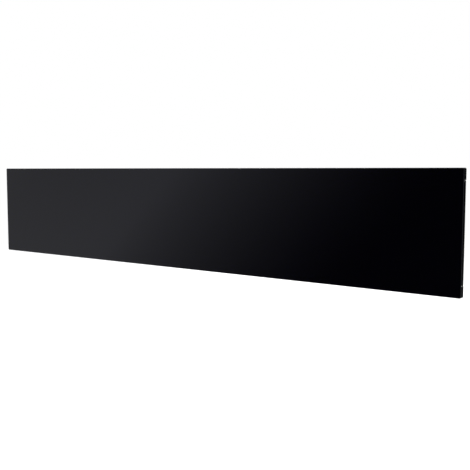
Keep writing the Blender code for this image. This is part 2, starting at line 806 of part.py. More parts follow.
def make_bearing_bracket(name, x, hole_radius, looks, half_depth=0.010, top=0.012):
    """A bent foot that stands on the floor of the box and holds something on the spindle's line."""
    low = INNER_FLOOR + FIT_GAP
    path = ((x + BEARING_FOOT, low), (x, low), (x, SPINDLE_Z + top))
    bm = bmesh.new()
    outline = sheet_outline(path, -BEARING_PLATE)
    add_prism(bm, outline, "Y", SPINDLE_DEPTH - half_depth, SPINDLE_DEPTH + half_depth)
    bracket = move_origin(piece(name, bm, looks["zinc_sheet"]), (x, SPINDLE_DEPTH, SPINDLE_Z))
    hole = bmesh.new()
    reach = Vector((BEARING_PLATE + OVERCUT, 0, 0))
    centre = Vector((x, SPINDLE_DEPTH, SPINDLE_Z))
    add_rod(hole, centre - reach, centre + reach, hole_radius, 20)
    return subtract(bracket, hole)


def make_spindle_bearing(name, x, looks):
    """A nylon bush pressed in its bracket."""
    inner, outer = SPINDLE_ROD_RADIUS + FIT_GAP, SPINDLE_BEARING_RADIUS
    half = SPINDLE_BEARING_LENGTH / 2
    profile = ((-half, inner), (half, inner), (half, outer), (-half, outer))
    start = (x + BEARING_PLATE / 2, SPINDLE_DEPTH, SPINDLE_Z)
    return ring_piece(name, profile, start, (1, 0, 0), looks["nylon"])


def make_spindle_motor(looks):
    """The slow synchronous motor: a drawn can with a raised boss and a bore for the stub."""
    face = SPINDLE_BRACKET_X + BEARING_PLATE + FIT_GAP
    radius, length = SPINDLE_MOTOR_RADIUS, SPINDLE_MOTOR_LENGTH
    bore = SPINDLE_ROD_RADIUS + FIT_GAP
    profile = (
        (-0.003, bore),
        (-0.003, 0.006),
        (0, 0.006),
        (0, radius - 0.001),
        (0.001, radius),
        (length - 0.001, radius),
        (length, radius - 0.001),
        (length, bore),
    )
    return ring_piece(
        "spindle_motor", profile, (face, SPINDLE_DEPTH, SPINDLE_Z), (1, 0, 0), looks["zinc_sheet"], 28
    )


# ---------------------------------------------------------------- embers

EMBER_SHELF_THICKNESS = 0.003
BED_COLUMNS = 44
BED_ROWS = 3
BED_DEPTH = 0.009
BED_WAVE = 0.0014


def make_ember_shelf(looks):
    """The clear shelf that the crystals lie on and the ember lights shine through."""
    half = INNER_HALF - PAN_TAB - FIT_GAP
    return box_piece(
        "ember_shelf",
        (-half, FASCIA_BACK_Y + FIT_GAP, EMBER_FLOOR),
        (half, SCREEN_DEPTH - FIT_GAP, EMBER_FLOOR + EMBER_SHELF_THICKNESS),
        looks["clear_plastic"],
    )


def bed_height(x, y):
    return BED_DEPTH + BED_WAVE * (0.6 * math.sin(61 * x) * math.cos(140 * y) + 0.4 * math.sin(23 * x + 1))


def make_ember_bed(looks):
    """The loose crystals as one plain solid with a rolling top."""
    front = FASCIA_BACK_Y + FIT_GAP
    back = SCREEN_DEPTH - FIT_GAP
    half = INNER_HALF - PAN_TAB - 2 * FIT_GAP
    floor = EMBER_FLOOR + EMBER_SHELF_THICKNESS + FIT_GAP
    bm = bmesh.new()
    bmesh.ops.create_grid(bm, x_segments=BED_COLUMNS, y_segments=BED_ROWS, size=0.5)
    for vert in bm.verts:
        vert.co = (2 * half * vert.co.x, (front + back) / 2 + (back - front) * vert.co.y, floor)
    top = bmesh.ops.extrude_face_region(bm, geom=bm.faces[:])["geom"]
    for vert in [item for item in top if isinstance(item, bmesh.types.BMVert)]:
        vert.co.z += bed_height(vert.co.x, vert.co.y)
    return move_origin(piece("ember_bed", bm, looks["crystal"]), (0, (front + back) / 2, floor))


LOG_RADIUS = 0.011
LOG_KNOT = 0.09
LOG_SAG = 0.001
LOG_SIDES = 10
LOG_RINGS = 12


def make_log(name, x, length, bow, phase, looks):
    """A slim driftwood log: a tapered, slightly crooked stick lying along the bed."""
    bed_top = EMBER_FLOOR + EMBER_SHELF_THICKNESS + BED_DEPTH + BED_WAVE
    lie = bed_top + LOG_RADIUS * (1 + LOG_KNOT) + LOG_SAG + FIT_GAP
    centre = Vector((x, SCREEN_DEPTH / 2, lie))
    bm = bmesh.new()
    rings = []
    for index in range(LOG_RINGS + 1):
        share = index / LOG_RINGS
        taper = math.sin(math.pi * (0.12 + 0.76 * share)) ** 0.35
        sag = LOG_SAG * math.sin(5 * share + phase)
        middle = centre + Vector((length * (share - 0.5), bow * math.sin(math.pi * share), sag))
        ring = []
        for side in range(LOG_SIDES):
            angle = 2 * math.pi * side / LOG_SIDES
            knot = 1 + LOG_KNOT * math.sin(3 * angle + 7 * share + phase)
            reach = LOG_RADIUS * taper * knot
            ring.append(bm.verts.new(middle + Vector((0, reach * math.cos(angle), reach * math.sin(angle)))))
        rings.append(ring)
    for ring, following in zip(rings, rings[1:]):
        for side in range(LOG_SIDES):
            beyond = (side + 1) % LOG_SIDES
            bm.faces.new((ring[side], ring[beyond], following[beyond], following[side]))
    bm.faces.new(rings[0])
    bm.faces.new(rings[-1])
    return shade_round(move_origin(piece(name, bm, looks["driftwood"]), centre))


# ---------------------------------------------------------------- blower and heater

SCROLL_SHEET = 0.001
END_PLATE_SHEET = 0.0012
WHEEL_DISC = 0.0015
WHEEL_DISCS = 4
SCROLL_STEPS = 9


def polar(radius, degrees):
    """A (y, z) point about the blower's axis. 0 degrees points to the back and 90 up."""
    angle = math.radians(degrees)
    return (BLOWER_DEPTH + radius * math.cos(angle), BLOWER_Z + radius * math.sin(angle))


def make_blower_scroll(looks):
    """The rear wall of the blower: it opens out from under the wheel to the roof of the outlet."""
    tight, wide = BLOWER_RADIUS + 0.002, OUTLET_HIGH - BLOWER_Z
    path = []
    for step in range(SCROLL_STEPS + 1):
        share = step / SCROLL_STEPS
        path.append(polar(tight + (wide - tight) * share, -70 + 160 * share))
    path.append((HEATER_BACK + 0.002, OUTLET_HIGH))
    half = BLOWER_LENGTH / 2 + 0.003
    return sheet_piece("blower_scroll", path, -SCROLL_SHEET, "X", -half, half, looks["zinc_sheet"])


HEATER_FRONT = 0.006
HEATER_BACK = 0.028


def make_blower_tongue(looks):
    """The lip that parts the outlet from the inlet."""
    path = (
        (HEATER_BACK + 0.002, OUTLET_LOW),
        (polar(BLOWER_RADIUS + 0.004, 166)[0] - 0.002, OUTLET_LOW),
        polar(BLOWER_RADIUS + 0.003, 192),
    )
    half = BLOWER_LENGTH / 2 + 0.003
    return sheet_piece("blower_tongue", path, -SCROLL_SHEET, "X", -half, half, looks["zinc_sheet"])


def make_blower_end_plate(name, side, hole_radius, looks):
    """Closes one end of the blower and carries a bearing or the motor."""
    near = BLOWER_LENGTH / 2 + 0.003 + FIT_GAP
    low_x, high_x = sorted((side * near, side * (near + END_PLATE_SHEET)))
    centre = Vector((side * near, BLOWER_DEPTH, BLOWER_Z))
    bm = bmesh.new()
    outline = (
        (HEATER_BACK + 0.002, OUTLET_LOW - 0.004),
        (0.046, BAY_FLOOR + FIT_GAP),
        (INNER_BACK - BOX_SHEET - 3 * FIT_GAP, BAY_FLOOR + FIT_GAP),
        (INNER_BACK - BOX_SHEET - 3 * FIT_GAP, OUTLET_HIGH + 0.003),
        (HEATER_BACK + 0.002, OUTLET_HIGH + 0.003),
    )
    add_prism(bm, outline, "X", low_x, high_x)
    plate = move_origin(piece(name, bm, looks["zinc_sheet"]), centre)
    hole = bmesh.new()
    add_rod(hole, centre - Vector((0.01, 0, 0)), centre + Vector((0.01, 0, 0)), hole_radius, 20)
    return subtract(plate, hole)


def blade_outline(turn):
    """A thin curved blade near the rim of the wheel, at an angle in radians."""
    inner, outer, thick = BLOWER_RADIUS * 0.74, BLOWER_RADIUS * 0.985, 0.0009
    near, far = [], []
    for share in (0.0, 0.5, 1.0):
        radius = inner + (outer - inner) * share
        angle = turn + 0.30 * share * share
        near.append((radius * math.cos(angle), radius * math.sin(angle)))
        angle += thick / radius
        far.append((radius * math.cos(angle), radius * math.sin(angle)))
    return [(BLOWER_DEPTH + y, BLOWER_Z + z) for y, z in near + far[::-1]]


def make_blower_wheel(looks):
    """Cross-flow wheel: long curved blades held by four discs."""
    centre = Vector((0, BLOWER_DEPTH, BLOWER_Z))
    half = BLOWER_LENGTH / 2
    hub = BLOWER_SHAFT_RADIUS + FIT_GAP
    blades = bmesh.new()
    for index in range(BLOWER_BLADES):
        outline = blade_outline(2 * math.pi * index / BLOWER_BLADES)
        add_prism(blades, outline, "X", -half + WHEEL_DISC / 2, half - WHEEL_DISC / 2)
    discs = bmesh.new()
    for x in row(WHEEL_DISCS, (BLOWER_LENGTH - WHEEL_DISC) / (WHEEL_DISCS - 1)):
        profile = (
            (x - WHEEL_DISC / 2, hub),
            (x + WHEEL_DISC / 2, hub),
            (x + WHEEL_DISC / 2, BLOWER_RADIUS),
            (x - WHEEL_DISC / 2, BLOWER_RADIUS),
        )
        add_ring(discs, profile, centre, (1, 0, 0), 24)
    wheel = move_origin(piece("blower_wheel", blades, looks["black_plastic"]), centre)
    return unite(wheel, discs)


BLOWER_MOTOR_RADIUS = 0.021
BLOWER_MOTOR_LENGTH = 0.032
BLOWER_END_X = BLOWER_LENGTH / 2 + 0.003 + FIT_GAP + END_PLATE_SHEET


def make_blower_motor(looks):
    """The fan motor, flanged to the right end plate, with a bore for the wheel's shaft."""
    bore = BLOWER_SHAFT_RADIUS + FIT_GAP
    radius, length = BLOWER_MOTOR_RADIUS, BLOWER_MOTOR_LENGTH
    profile = (
        (0, bore),
        (0, radius + 0.004),
        (0.0015, radius + 0.004),
        (0.0015, radius),
        (length - 0.006, radius),
        (length - 0.002, radius - 0.005),
        (length, radius - 0.012),
        (length, bore),
    )
    start = (BLOWER_END_X + FIT_GAP, BLOWER_DEPTH, BLOWER_Z)
    return ring_piece("blower_motor", profile, start, (1, 0, 0), looks["black_steel"], 28)


def make_blower_shaft(looks):
    """The steel shaft that the wheel turns on, from the left bearing into the motor."""
    left = -BLOWER_END_X - 0.006
    right = BLOWER_END_X + BLOWER_MOTOR_LENGTH - 0.004
    return rod_piece(
        "blower_shaft",
        (left, BLOWER_DEPTH, BLOWER_Z),
        (right, BLOWER_DEPTH, BLOWER_Z),
        BLOWER_SHAFT_RADIUS,
        looks["bright_zinc"],
        16,
    )


BLOWER_BUSH_RADIUS = 0.0065


def make_blower_bearing(looks):
    """The oiled bush in the left end plate."""
    inner, outer = BLOWER_SHAFT_RADIUS + FIT_GAP, BLOWER_BUSH_RADIUS
    profile = (
        (-0.004, inner),
        (0.003, inner),
        (0.003, outer),
        (-END_PLATE_SHEET - FIT_GAP, outer),
        (-END_PLATE_SHEET - FIT_GAP, outer + 0.003),
        (-0.004, outer + 0.003),
    )
    start = (-BLOWER_END_X + END_PLATE_SHEET, BLOWER_DEPTH, BLOWER_Z)
    return ring_piece("blower_bearing", profile, start, (1, 0, 0), looks["brass"], 20)


ELEMENT_FINS = 40


def make_heater_frame(looks):
    """The steel duct between blower and outlet, round the heating element."""
    reach = SCROLL_SHEET + FIT_GAP
    low, high = OUTLET_LOW - reach, OUTLET_HIGH + reach
    half = OUTLET_HALF + reach
    frame = box_piece(
        "heater_frame", (-half, HEATER_FRONT, low), (half, HEATER_BACK, high), looks["zinc_sheet"]
    )
    hollow = bmesh.new()
    add_box(
        hollow,
        (-half + SCROLL_SHEET, HEATER_FRONT - OVERCUT, low + SCROLL_SHEET),
        (half - SCROLL_SHEET, HEATER_BACK + OVERCUT, high - SCROLL_SHEET),
    )
    return subtract(frame, hollow)


def make_heating_element(looks):
    """Ceramic heater block: aluminium fins between two rails."""
    half = OUTLET_HALF - 0.004
    low, high = OUTLET_LOW + 0.001, OUTLET_HIGH - 0.001
    front, back = HEATER_FRONT + 0.004, HEATER_BACK - 0.004
    fins = looks["polished_aluminium"]
    element = box_piece("heating_element", (-half, front, low), (half, back, high), fins)
    gaps = bmesh.new()
    pitch = 2 * half / ELEMENT_FINS
    for x in row(ELEMENT_FINS - 1, pitch):
        add_box(
            gaps,
            (x - pitch * 0.36, front - OVERCUT, low + 0.003),
            (x + pitch * 0.36, back + OVERCUT, high - 0.003),
        )
    return subtract(element, gaps)


GRILLE_BARS = 12


def make_outlet_grille(looks):
    """The guard over the warm air outlet."""
    rim = 0.004
    grille = box_piece(
        "outlet_grille",
        (-OUTLET_HALF - rim, FASCIA_Y - FIT_GAP - 0.002, OUTLET_LOW - rim),
        (OUTLET_HALF + rim, FASCIA_Y - FIT_GAP, OUTLET_HIGH + rim / 2),
        looks["black_plastic"],
    )
    gaps = bmesh.new()
    pitch = 2 * OUTLET_HALF / GRILLE_BARS
    for x in row(GRILLE_BARS, pitch):
        for low, high in ((0.05, 0.33), (0.39, 0.62), (0.68, 0.95)):
            tall = OUTLET_HIGH - OUTLET_LOW
            add_box(
                gaps,
                (x - pitch * 0.44, FASCIA_Y - 0.005, OUTLET_LOW + tall * low),
                (x + pitch * 0.44, FASCIA_Y + OVERCUT, OUTLET_LOW + tall * high),
            )
    return subtract(grille, gaps)


def make_thermal_cutout(looks):
    """The bimetal disc thermostat that stops the heater, with two blade terminals."""
    start = Vector((-BLOWER_END_X - FIT_GAP, 0.040, BLOWER_Z + 0.012))
    bm = bmesh.new()
    add_rod(bm, start, start - Vector((0.008, 0, 0)), 0.008, 20)
    cutout = shade_round(move_origin(piece("thermal_cutout", bm, looks["black_plastic"]), start))
    blades = bmesh.new()
    for y in (-0.004, 0.004):
        spot = start + Vector((-0.007, y, 0))
        add_box(blades, spot + Vector((-0.009, -0.0004, -0.0032)), spot + Vector((0, 0.0004, 0.0032)))
    return unite(cutout, blades)


# ---------------------------------------------------------------- electrics

BOARD_THICKNESS = 0.0016
BOARD_CENTRE = Vector((0.380, 0.050, BAY_FLOOR + 0.006))
BOARD_SIZE = (0.130, 0.070)


def make_control_board(looks):
    """The control board with its relays, capacitors, transformer and plugs."""
    half_x, half_y = BOARD_SIZE[0] / 2, BOARD_SIZE[1] / 2
    centre = BOARD_CENTRE
    board = box_piece(
        "control_board",
        centre - Vector((half_x, half_y, 0)),
        centre + Vector((half_x, half_y, BOARD_THICKNESS)),
        looks["circuit_board"],
    )
    parts = bmesh.new()
    blocks = (
        (-0.045, 0.018, 0.019, 0.015, 0.016),
        (-0.022, 0.018, 0.019, 0.015, 0.016),
        (0.002, 0.018, 0.019, 0.015, 0.016),
        (0.038, 0.012, 0.030, 0.028, 0.024),
        (-0.040, -0.024, 0.024, 0.008, 0.010),
        (-0.008, -0.024, 0.024, 0.008, 0.010),
        (0.032, -0.024, 0.036, 0.010, 0.012),
        (-0.012, -0.006, 0.012, 0.012, 0.003),
    )
    for x, y, width, depth, tall in blocks:
        spot = centre + Vector((x, y, BOARD_THICKNESS / 2))
        add_box(parts, spot - Vector((width / 2, depth / 2, 0)), spot + Vector((width / 2, depth / 2, tall)))
    for x in (-0.052, -0.036):
        spot = centre + Vector((x, -0.006, BOARD_THICKNESS / 2))
        add_rod(parts, spot, spot + Vector((0, 0, 0.018)), 0.006, 12)
    return unite(board, parts)


def make_led_driver(looks):
    """The sealed supply for the lights, in a pressed case with screw ears."""
    low = Vector((-0.460, 0.028, BAY_FLOOR + FIT_GAP))
    high = low + Vector((0.120, 0.045, 0.028))
    driver = box_piece("led_driver", low, high, looks["aluminium"], edge=0.001)
    ears = bmesh.new()
    middle = (low.y + high.y) / 2
    add_box(ears, (low.x - 0.012, middle - 0.008, low.z), (high.x + 0.012, middle + 0.008, low.z + 0.0015))
    unite(driver, ears)
    holes = bmesh.new()
    for x in (low.x - 0.007, high.x + 0.007):
        add_rod(holes, (x, middle, low.z - OVERCUT), (x, middle, low.z + 0.003), 0.0022, 12)
    return subtract(driver, holes)


TERMINAL_POLES = 3
TERMINAL_POLE_WIDTH = 0.012


def make_terminal_block(looks):
    """Three mains poles, each with a screw well and a wire port."""
    width = TERMINAL_POLES * TERMINAL_POLE_WIDTH + 0.008
    low = Vector((WIRING_CENTRE.x - width / 2, 0.052, BAY_FLOOR + FIT_GAP))
    high = low + Vector((width, 0.022, 0.018))
    block = box_piece("terminal_block", low, high, looks["nylon"], edge=0.0008)
    wells = bmesh.new()
    for x in row(TERMINAL_POLES, TERMINAL_POLE_WIDTH, (low.x + high.x) / 2):
        middle = (low.y + high.y) / 2
        add_rod(wells, (x, middle, high.z - 0.005), (x, middle, high.z + OVERCUT), 0.0034, 12)
    subtract(block, wells)
    ports = bmesh.new()
    for x in row(TERMINAL_POLES, TERMINAL_POLE_WIDTH, (low.x + high.x) / 2):
        add_rod(ports, (x, low.y - OVERCUT, low.z + 0.007), (x, low.y + 0.006, low.z + 0.007), 0.0030, 12)
    return subtract(block, ports)


COVER_OVERLAP = 0.010


def make_wiring_cover(looks):
    """The plate that closes the wiring window in the back."""
    half_x = WIRING_WINDOW[0] / 2 + COVER_OVERLAP
    half_z = WIRING_WINDOW[1] / 2 + COVER_OVERLAP
    back = BOX_DEPTH + FIT_GAP
    cover = box_piece(
        "wiring_cover",
        (WIRING_CENTRE.x - half_x, back, WIRING_CENTRE.z - half_z),
        (WIRING_CENTRE.x + half_x, back + BOX_SHEET, WIRING_CENTRE.z + half_z),
        looks["zinc_sheet"],
    )
    holes = bmesh.new()
    for x in (-1, 1):
        spot = Vector((WIRING_CENTRE.x + x * (half_x - COVER_OVERLAP / 2), back, WIRING_CENTRE.z))
        add_rod(holes, spot - Vector((0, OVERCUT, 0)), spot + Vector((0, 0.003, 0)), 0.002, 12)
    return subtract(cover, holes)


def make_cable_gland(looks):
    """The gland in the right end: a hexagonal body, a domed nut and an open bore for the supply cable."""
    bore, thread = GLAND_BORE_RADIUS, GLAND_THREAD_RADIUS
    face = FIT_GAP
    profile = (
        (-0.009, bore),
        (-0.009, thread),
        (face, thread),
        (face, 0.0135),
        (face + 0.005, 0.0135),
        (face + 0.005, 0.0118),
        (face + 0.0115, 0.0118),
        (face + 0.0165, 0.0085),
        (face + 0.0165, bore),
    )
    return ring_piece("cable_gland", profile, GLAND_CENTRE, (1, 0, 0), looks["black_plastic"], 24)


def make_ir_receiver(looks):
    """The remote control's receiver: a small board and a round dark lens through the fascia."""
    middle = (OUTLET_LOW + OUTLET_HIGH) / 2
    back = FASCIA_BACK_Y + 0.003
    receiver = box_piece(
        "ir_receiver",
        (RECEIVER_X - 0.012, back, middle - 0.009),
        (RECEIVER_X + 0.012, back + BOARD_THICKNESS, middle + 0.009),
        looks["circuit_board"],
    )
    lens = bmesh.new()
    add_rod(
        lens,
        (RECEIVER_X, back + BOARD_THICKNESS / 2, middle),
        (RECEIVER_X, FASCIA_Y - 0.001, middle),
        RECEIVER_RADIUS,
        16,
    )
    return unite(receiver, lens)


# ---------------------------------------------------------------- controls under the bottom edge

POD_FACE_Z = FRONT_BOTTOM + FIT_GAP
POD_TOP_Z = SILL + 0.001
POD_BACK_Y = LIP_FRONT_Y - FIT_GAP
POD_FRONT_Y = FRAME_POCKET_Y + FIT_GAP
POD_MIDDLE_Y = (POD_BACK_Y + POD_FRONT_Y) / 2
ROCKER_X = POD_CENTRE + POD_LENGTH / 2 - 0.018
ROCKER_PIVOT_Z = POD_FACE_Z + 0.0045
ROCKER_HALF_LENGTH = 0.0065
ROCKER_WIDTH = 0.0056
ROCKER_PIN_RADIUS = 0.0008
ROCKER_SWING = 0.0012
ROCKER_HEADROOM = 0.0045
BUTTON_PROUD = 0.0008
BUTTON_TALL = 0.0075


def button_places():
    return row(BUTTON_COUNT, BUTTON_PITCH, POD_CENTRE - 0.020)


def make_control_pod(looks):
    """The housing on the lower lip, whose keys face down through the front's notch."""
    pod = box_piece(
        "control_pod",
        (POD_CENTRE - POD_LENGTH / 2, POD_FRONT_Y, POD_FACE_Z),
        (POD_CENTRE + POD_LENGTH / 2, POD_BACK_Y, POD_TOP_Z),
        looks["black_plastic"],
        edge=0.0006,
    )
    wells = bmesh.new()
    for x in button_places():
        half_x, half_y = BUTTON_SIZE[0] / 2 + FIT_GAP, BUTTON_SIZE[1] / 2 + FIT_GAP
        top = POD_FACE_Z - BUTTON_PROUD + BUTTON_TALL + BUTTON_TRAVEL + FIT_GAP
        add_box(
            wells,
            (x - half_x, POD_MIDDLE_Y - half_y, POD_FACE_Z - OVERCUT),
            (x + half_x, POD_MIDDLE_Y + half_y, top),
        )
    half_x, half_y = ROCKER_HALF_LENGTH + ROCKER_SWING, ROCKER_WIDTH / 2 + FIT_GAP
    add_box(
        wells,
        (ROCKER_X - half_x, POD_MIDDLE_Y - half_y, POD_FACE_Z - OVERCUT),
        (ROCKER_X + half_x, POD_MIDDLE_Y + half_y, ROCKER_PIVOT_Z + ROCKER_HEADROOM),
    )
    subtract(pod, wells)
    pin_seat = bmesh.new()
    reach = Vector((0, ROCKER_WIDTH / 2 + 0.0010, 0))
    pivot = Vector((ROCKER_X, POD_MIDDLE_Y, ROCKER_PIVOT_Z))
    add_rod(pin_seat, pivot - reach, pivot + reach, ROCKER_PIN_RADIUS + FIT_GAP, 16)
    return subtract(pod, pin_seat)


def make_power_rocker(looks):
    """The mains rocker, stored tipped to its off side, with two short pivot pins."""
    pivot = Vector((ROCKER_X, POD_MIDDLE_Y, ROCKER_PIVOT_Z))
    half = ROCKER_HALF_LENGTH
    outline = ((-half, 0.0012), (-half, -0.0040), (0, -0.0050), (half, -0.0040), (half, 0.0012), (0, 0.0022))
    bm = bmesh.new()
    add_prism(bm, outline, "Y", -ROCKER_WIDTH / 2, ROCKER_WIDTH / 2)
    rocker = piece("power_rocker", bm, looks["black_plastic"])
    pins = bmesh.new()
    reach = Vector((0, ROCKER_WIDTH / 2 + 0.0006, 0))
    add_rod(pins, -reach, reach, ROCKER_PIN_RADIUS, 12)
    unite(rocker, pins)
    rocker.location = pivot
    rocker.rotation_euler = (0, ROCKER_TILT, 0)
    return rocker


def make_button(name, x, looks):
    """A key cap that stands a little proud of the pod's lower face."""
    half_x, half_y = BUTTON_SIZE[0] / 2, BUTTON_SIZE[1] / 2
    low = POD_FACE_Z - BUTTON_PROUD
    return box_piece(
        name,
        (x - half_x, POD_MIDDLE_Y - half_y, low),
        (x + half_x, POD_MIDDLE_Y + half_y, low + BUTTON_TALL),
        looks["black_plastic"],
        edge=0.0006,
    )


# ---------------------------------------------------------------- wiring

LEAD_RADIUS = 0.0016


def make_leads(looks):
    """The leads inside the box, each along its own run."""
    bay = BAY_FLOOR + 0.004
    board_left = BOARD_CENTRE.x - BOARD_SIZE[0] / 2
    board_front = BOARD_CENTRE.y - BOARD_SIZE[1] / 2
    motor_end = BLOWER_END_X + BLOWER_MOTOR_LENGTH
    terminals = WIRING_CENTRE.x - TERMINAL_POLES * TERMINAL_POLE_WIDTH / 2 - 0.005
    blower_lead = wire_piece(
        "blower_lead",
        (
            (motor_end + 0.002, BLOWER_DEPTH, BLOWER_Z),
            (motor_end + 0.020, BLOWER_DEPTH, BLOWER_Z - 0.004),
            (motor_end + 0.050, 0.060, bay + 0.008),
            (board_left - 0.020, 0.052, bay + 0.006),
            (board_left - 0.002, 0.050, bay + 0.004),
        ),
        LEAD_RADIUS,
        looks["lead"],
    )
    start, end = BOARD_CENTRE.x + BOARD_SIZE[0] / 2 + 0.002, terminals - 0.002
    mains_lead = wire_piece(
        "mains_lead",
        (
            (start, 0.050, bay + 0.004),
            (start + 0.17 * (end - start), 0.052, bay),
            (start + 0.50 * (end - start), 0.060, bay),
            (start + 0.82 * (end - start), 0.064, bay),
            (end, 0.063, bay + 0.004),
        ),
        LEAD_RADIUS,
        looks["lead"],
    )
    driver_lead = wire_piece(
        "driver_lead",
        (
            (-0.325, 0.034, bay + 0.008),
            (-0.290, 0.026, bay + 0.002),
            (-0.200, 0.016, bay),
            (0.000, 0.013, bay - 0.001),
            (0.200, 0.013, bay),
            (0.280, 0.015, bay),
            (BOARD_CENTRE.x - 0.050, board_front - 0.003, bay + 0.002),
        ),
        LEAD_RADIUS,
        looks["lead"],
    )
    return [blower_lead, mains_lead, driver_lead]


# ---------------------------------------------------------------- the whole fireplace


def make_looks():
    return {
        "glass": finish("smoked_glass", (0.006, 0.006, 0.008), 0.08, 0.0),
        "tape": finish("bonding_tape", (0.02, 0.02, 0.02), 0.8, 0.0),
        "black_steel": finish("black_powder_coat", (0.012, 0.012, 0.013), 0.45, 0.0),
        "zinc_sheet": finish("galvanised_sheet", (0.55, 0.56, 0.57), 0.42, 0.9),
        "bright_zinc": finish("bright_zinc", (0.75, 0.75, 0.76), 0.28, 1.0),
        "polished_aluminium": finish("polished_aluminium", (0.85, 0.85, 0.86), 0.18, 1.0),
        "aluminium": finish("aluminium_case", (0.62, 0.63, 0.64), 0.45, 1.0),
        "circuit_board": finish("circuit_board", (0.02, 0.12, 0.05), 0.5, 0.0),
        "diffuser": finish("flame_diffuser", (0.10, 0.10, 0.11), 0.5, 0.0),
        "clear_plastic": finish("clear_plastic", (0.70, 0.72, 0.74), 0.2, 0.0),
        "crystal": finish("crystal", (0.80, 0.84, 0.88), 0.1, 0.0),
        "driftwood": finish("driftwood", (0.32, 0.24, 0.17), 0.8, 0.0),
        "black_plastic": finish("black_plastic", (0.02, 0.02, 0.022), 0.5, 0.0),
        "nylon": finish("white_nylon", (0.72, 0.71, 0.68), 0.5, 0.0),
        "rubber": finish("rubber", (0.03, 0.03, 0.03), 0.8, 0.0),
        "brass": finish("sintered_bronze", (0.45, 0.30, 0.14), 0.45, 1.0),
        "lead": finish("lead_insulation", (0.03, 0.03, 0.03), 0.5, 0.0),
    }


def make_chassis(looks):
    """Everything that stays in the wall."""
    made = [make_firebox_shell(looks), make_heater_bay_shelf(looks)]
    made += [make_end_panel("left_end_panel", -1, looks), make_end_panel("right_end_panel", 1, looks)]
    made += [make_upper_fascia(looks), make_lower_fascia(looks)]
    for side, hand in ((-1, "left"), (1, "right")):
        for level, place in zip(SLIT_LEVELS, ("lower", "upper")):
            made.append(make_support_bracket(f"support_bracket_{hand}_{place}", side, level, looks))
        made.append(make_magnet(f"holding_magnet_{hand}", side, looks))
    made += [make_wiring_cover(looks), make_cable_gland(looks), make_terminal_block(looks)]
    made += [make_control_board(looks), make_led_driver(looks), make_ir_receiver(looks)]
    made.append(make_control_pod(looks))
    return made + make_leads(looks)


def make_flame_works(looks):
    """The fixed pieces of the flame effect and the embers."""
    made = [make_flame_screen(looks), make_flame_cutout_plate(looks), make_spindle_motor(looks)]
    made.append(make_bearing_bracket("spindle_motor_bracket", SPINDLE_BRACKET_X, 0.0065, looks, 0.014, 0.016))
    for place, x in zip(("left", "middle"), SPINDLE_BEARING_PLACES):
        hole = SPINDLE_BEARING_RADIUS + FIT_GAP
        made.append(make_bearing_bracket(f"spindle_bracket_{place}", x, hole, looks))
        made.append(make_spindle_bearing(f"spindle_bearing_{place}", x, looks))
    floor = INNER_FLOOR + FIT_GAP
    made.append(make_light_strip("flame_light_strip", SCREEN_DEPTH + 0.010, floor, 1, looks))
    made.append(make_light_strip("ember_light_strip", SCREEN_DEPTH / 2, floor, 1, looks))
    made.append(make_light_strip("top_light_strip", 0.014, SHELF_Z - FIT_GAP, -1, looks))
    made += [make_ember_shelf(looks), make_ember_bed(looks)]
    made.append(make_log("driftwood_left", -0.33, 0.42, 0.004, 0.4, looks))
    made.append(make_log("driftwood_right", 0.29, 0.50, -0.004, 2.1, looks))
    return made


def make_heater(looks):
    """The fixed pieces of the blower and the heater."""
    made = [make_blower_scroll(looks), make_blower_tongue(looks), make_blower_motor(looks)]
    made.append(make_blower_end_plate("blower_end_plate_left", -1, BLOWER_BUSH_RADIUS + FIT_GAP, looks))
    made.append(make_blower_end_plate("blower_end_plate_right", 1, BLOWER_SHAFT_RADIUS + 0.001, looks))
    made += [make_blower_bearing(looks), make_heater_frame(looks), make_heating_element(looks)]
    return made + [make_outlet_grille(looks), make_thermal_cutout(looks)]


def main():
    clear_scene()
    looks = make_looks()
    chassis = empty("chassis")
    for obj in make_chassis(looks) + make_flame_works(looks) + make_heater(looks):
        attach(obj, chassis)
    front = empty("front_panel", (0, FRAME_BACK_Y, FRONT_MIDDLE))
    for obj in (make_glass_front(looks), make_glass_tape(looks), make_front_frame(looks)):
        attach(obj, front)
    spindle_axis = empty("flame_spindle_axis", (0, SPINDLE_DEPTH, SPINDLE_Z))
    for obj in (make_flame_spindle(looks), make_spindle_coupling(looks)):
        attach(obj, spindle_axis)
    blower_axis = empty("blower_axis", (0, BLOWER_DEPTH, BLOWER_Z))
    for obj in (make_blower_wheel(looks), make_blower_shaft(looks)):
        attach(obj, blower_axis)
    attach(make_power_rocker(looks), chassis)
    for name, x in zip(("flame", "heat", "timer"), button_places()):
        attach(make_button(f"{name}_button", x, looks), chassis)


main()
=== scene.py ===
# %% [markdown]
# # A slim electric fireplace, piece by piece
#
# The real object is a long steel box that sits inside a wall. A full-width sheet of dark glass hides
# it. Switched off, it is one quiet black panel, so most of its look comes from a few things done well:
# how the glass mirrors a soft light, how fine its ground edge is, and how thin the steel return is.
# Behind the glass there is a bed of glass chips, two pieces of driftwood, a screen and a small heater.

# %% Load the frame
import json
import math
import random

import bmesh
import bpy
import numpy as np
from mathutils import Matrix, Vector


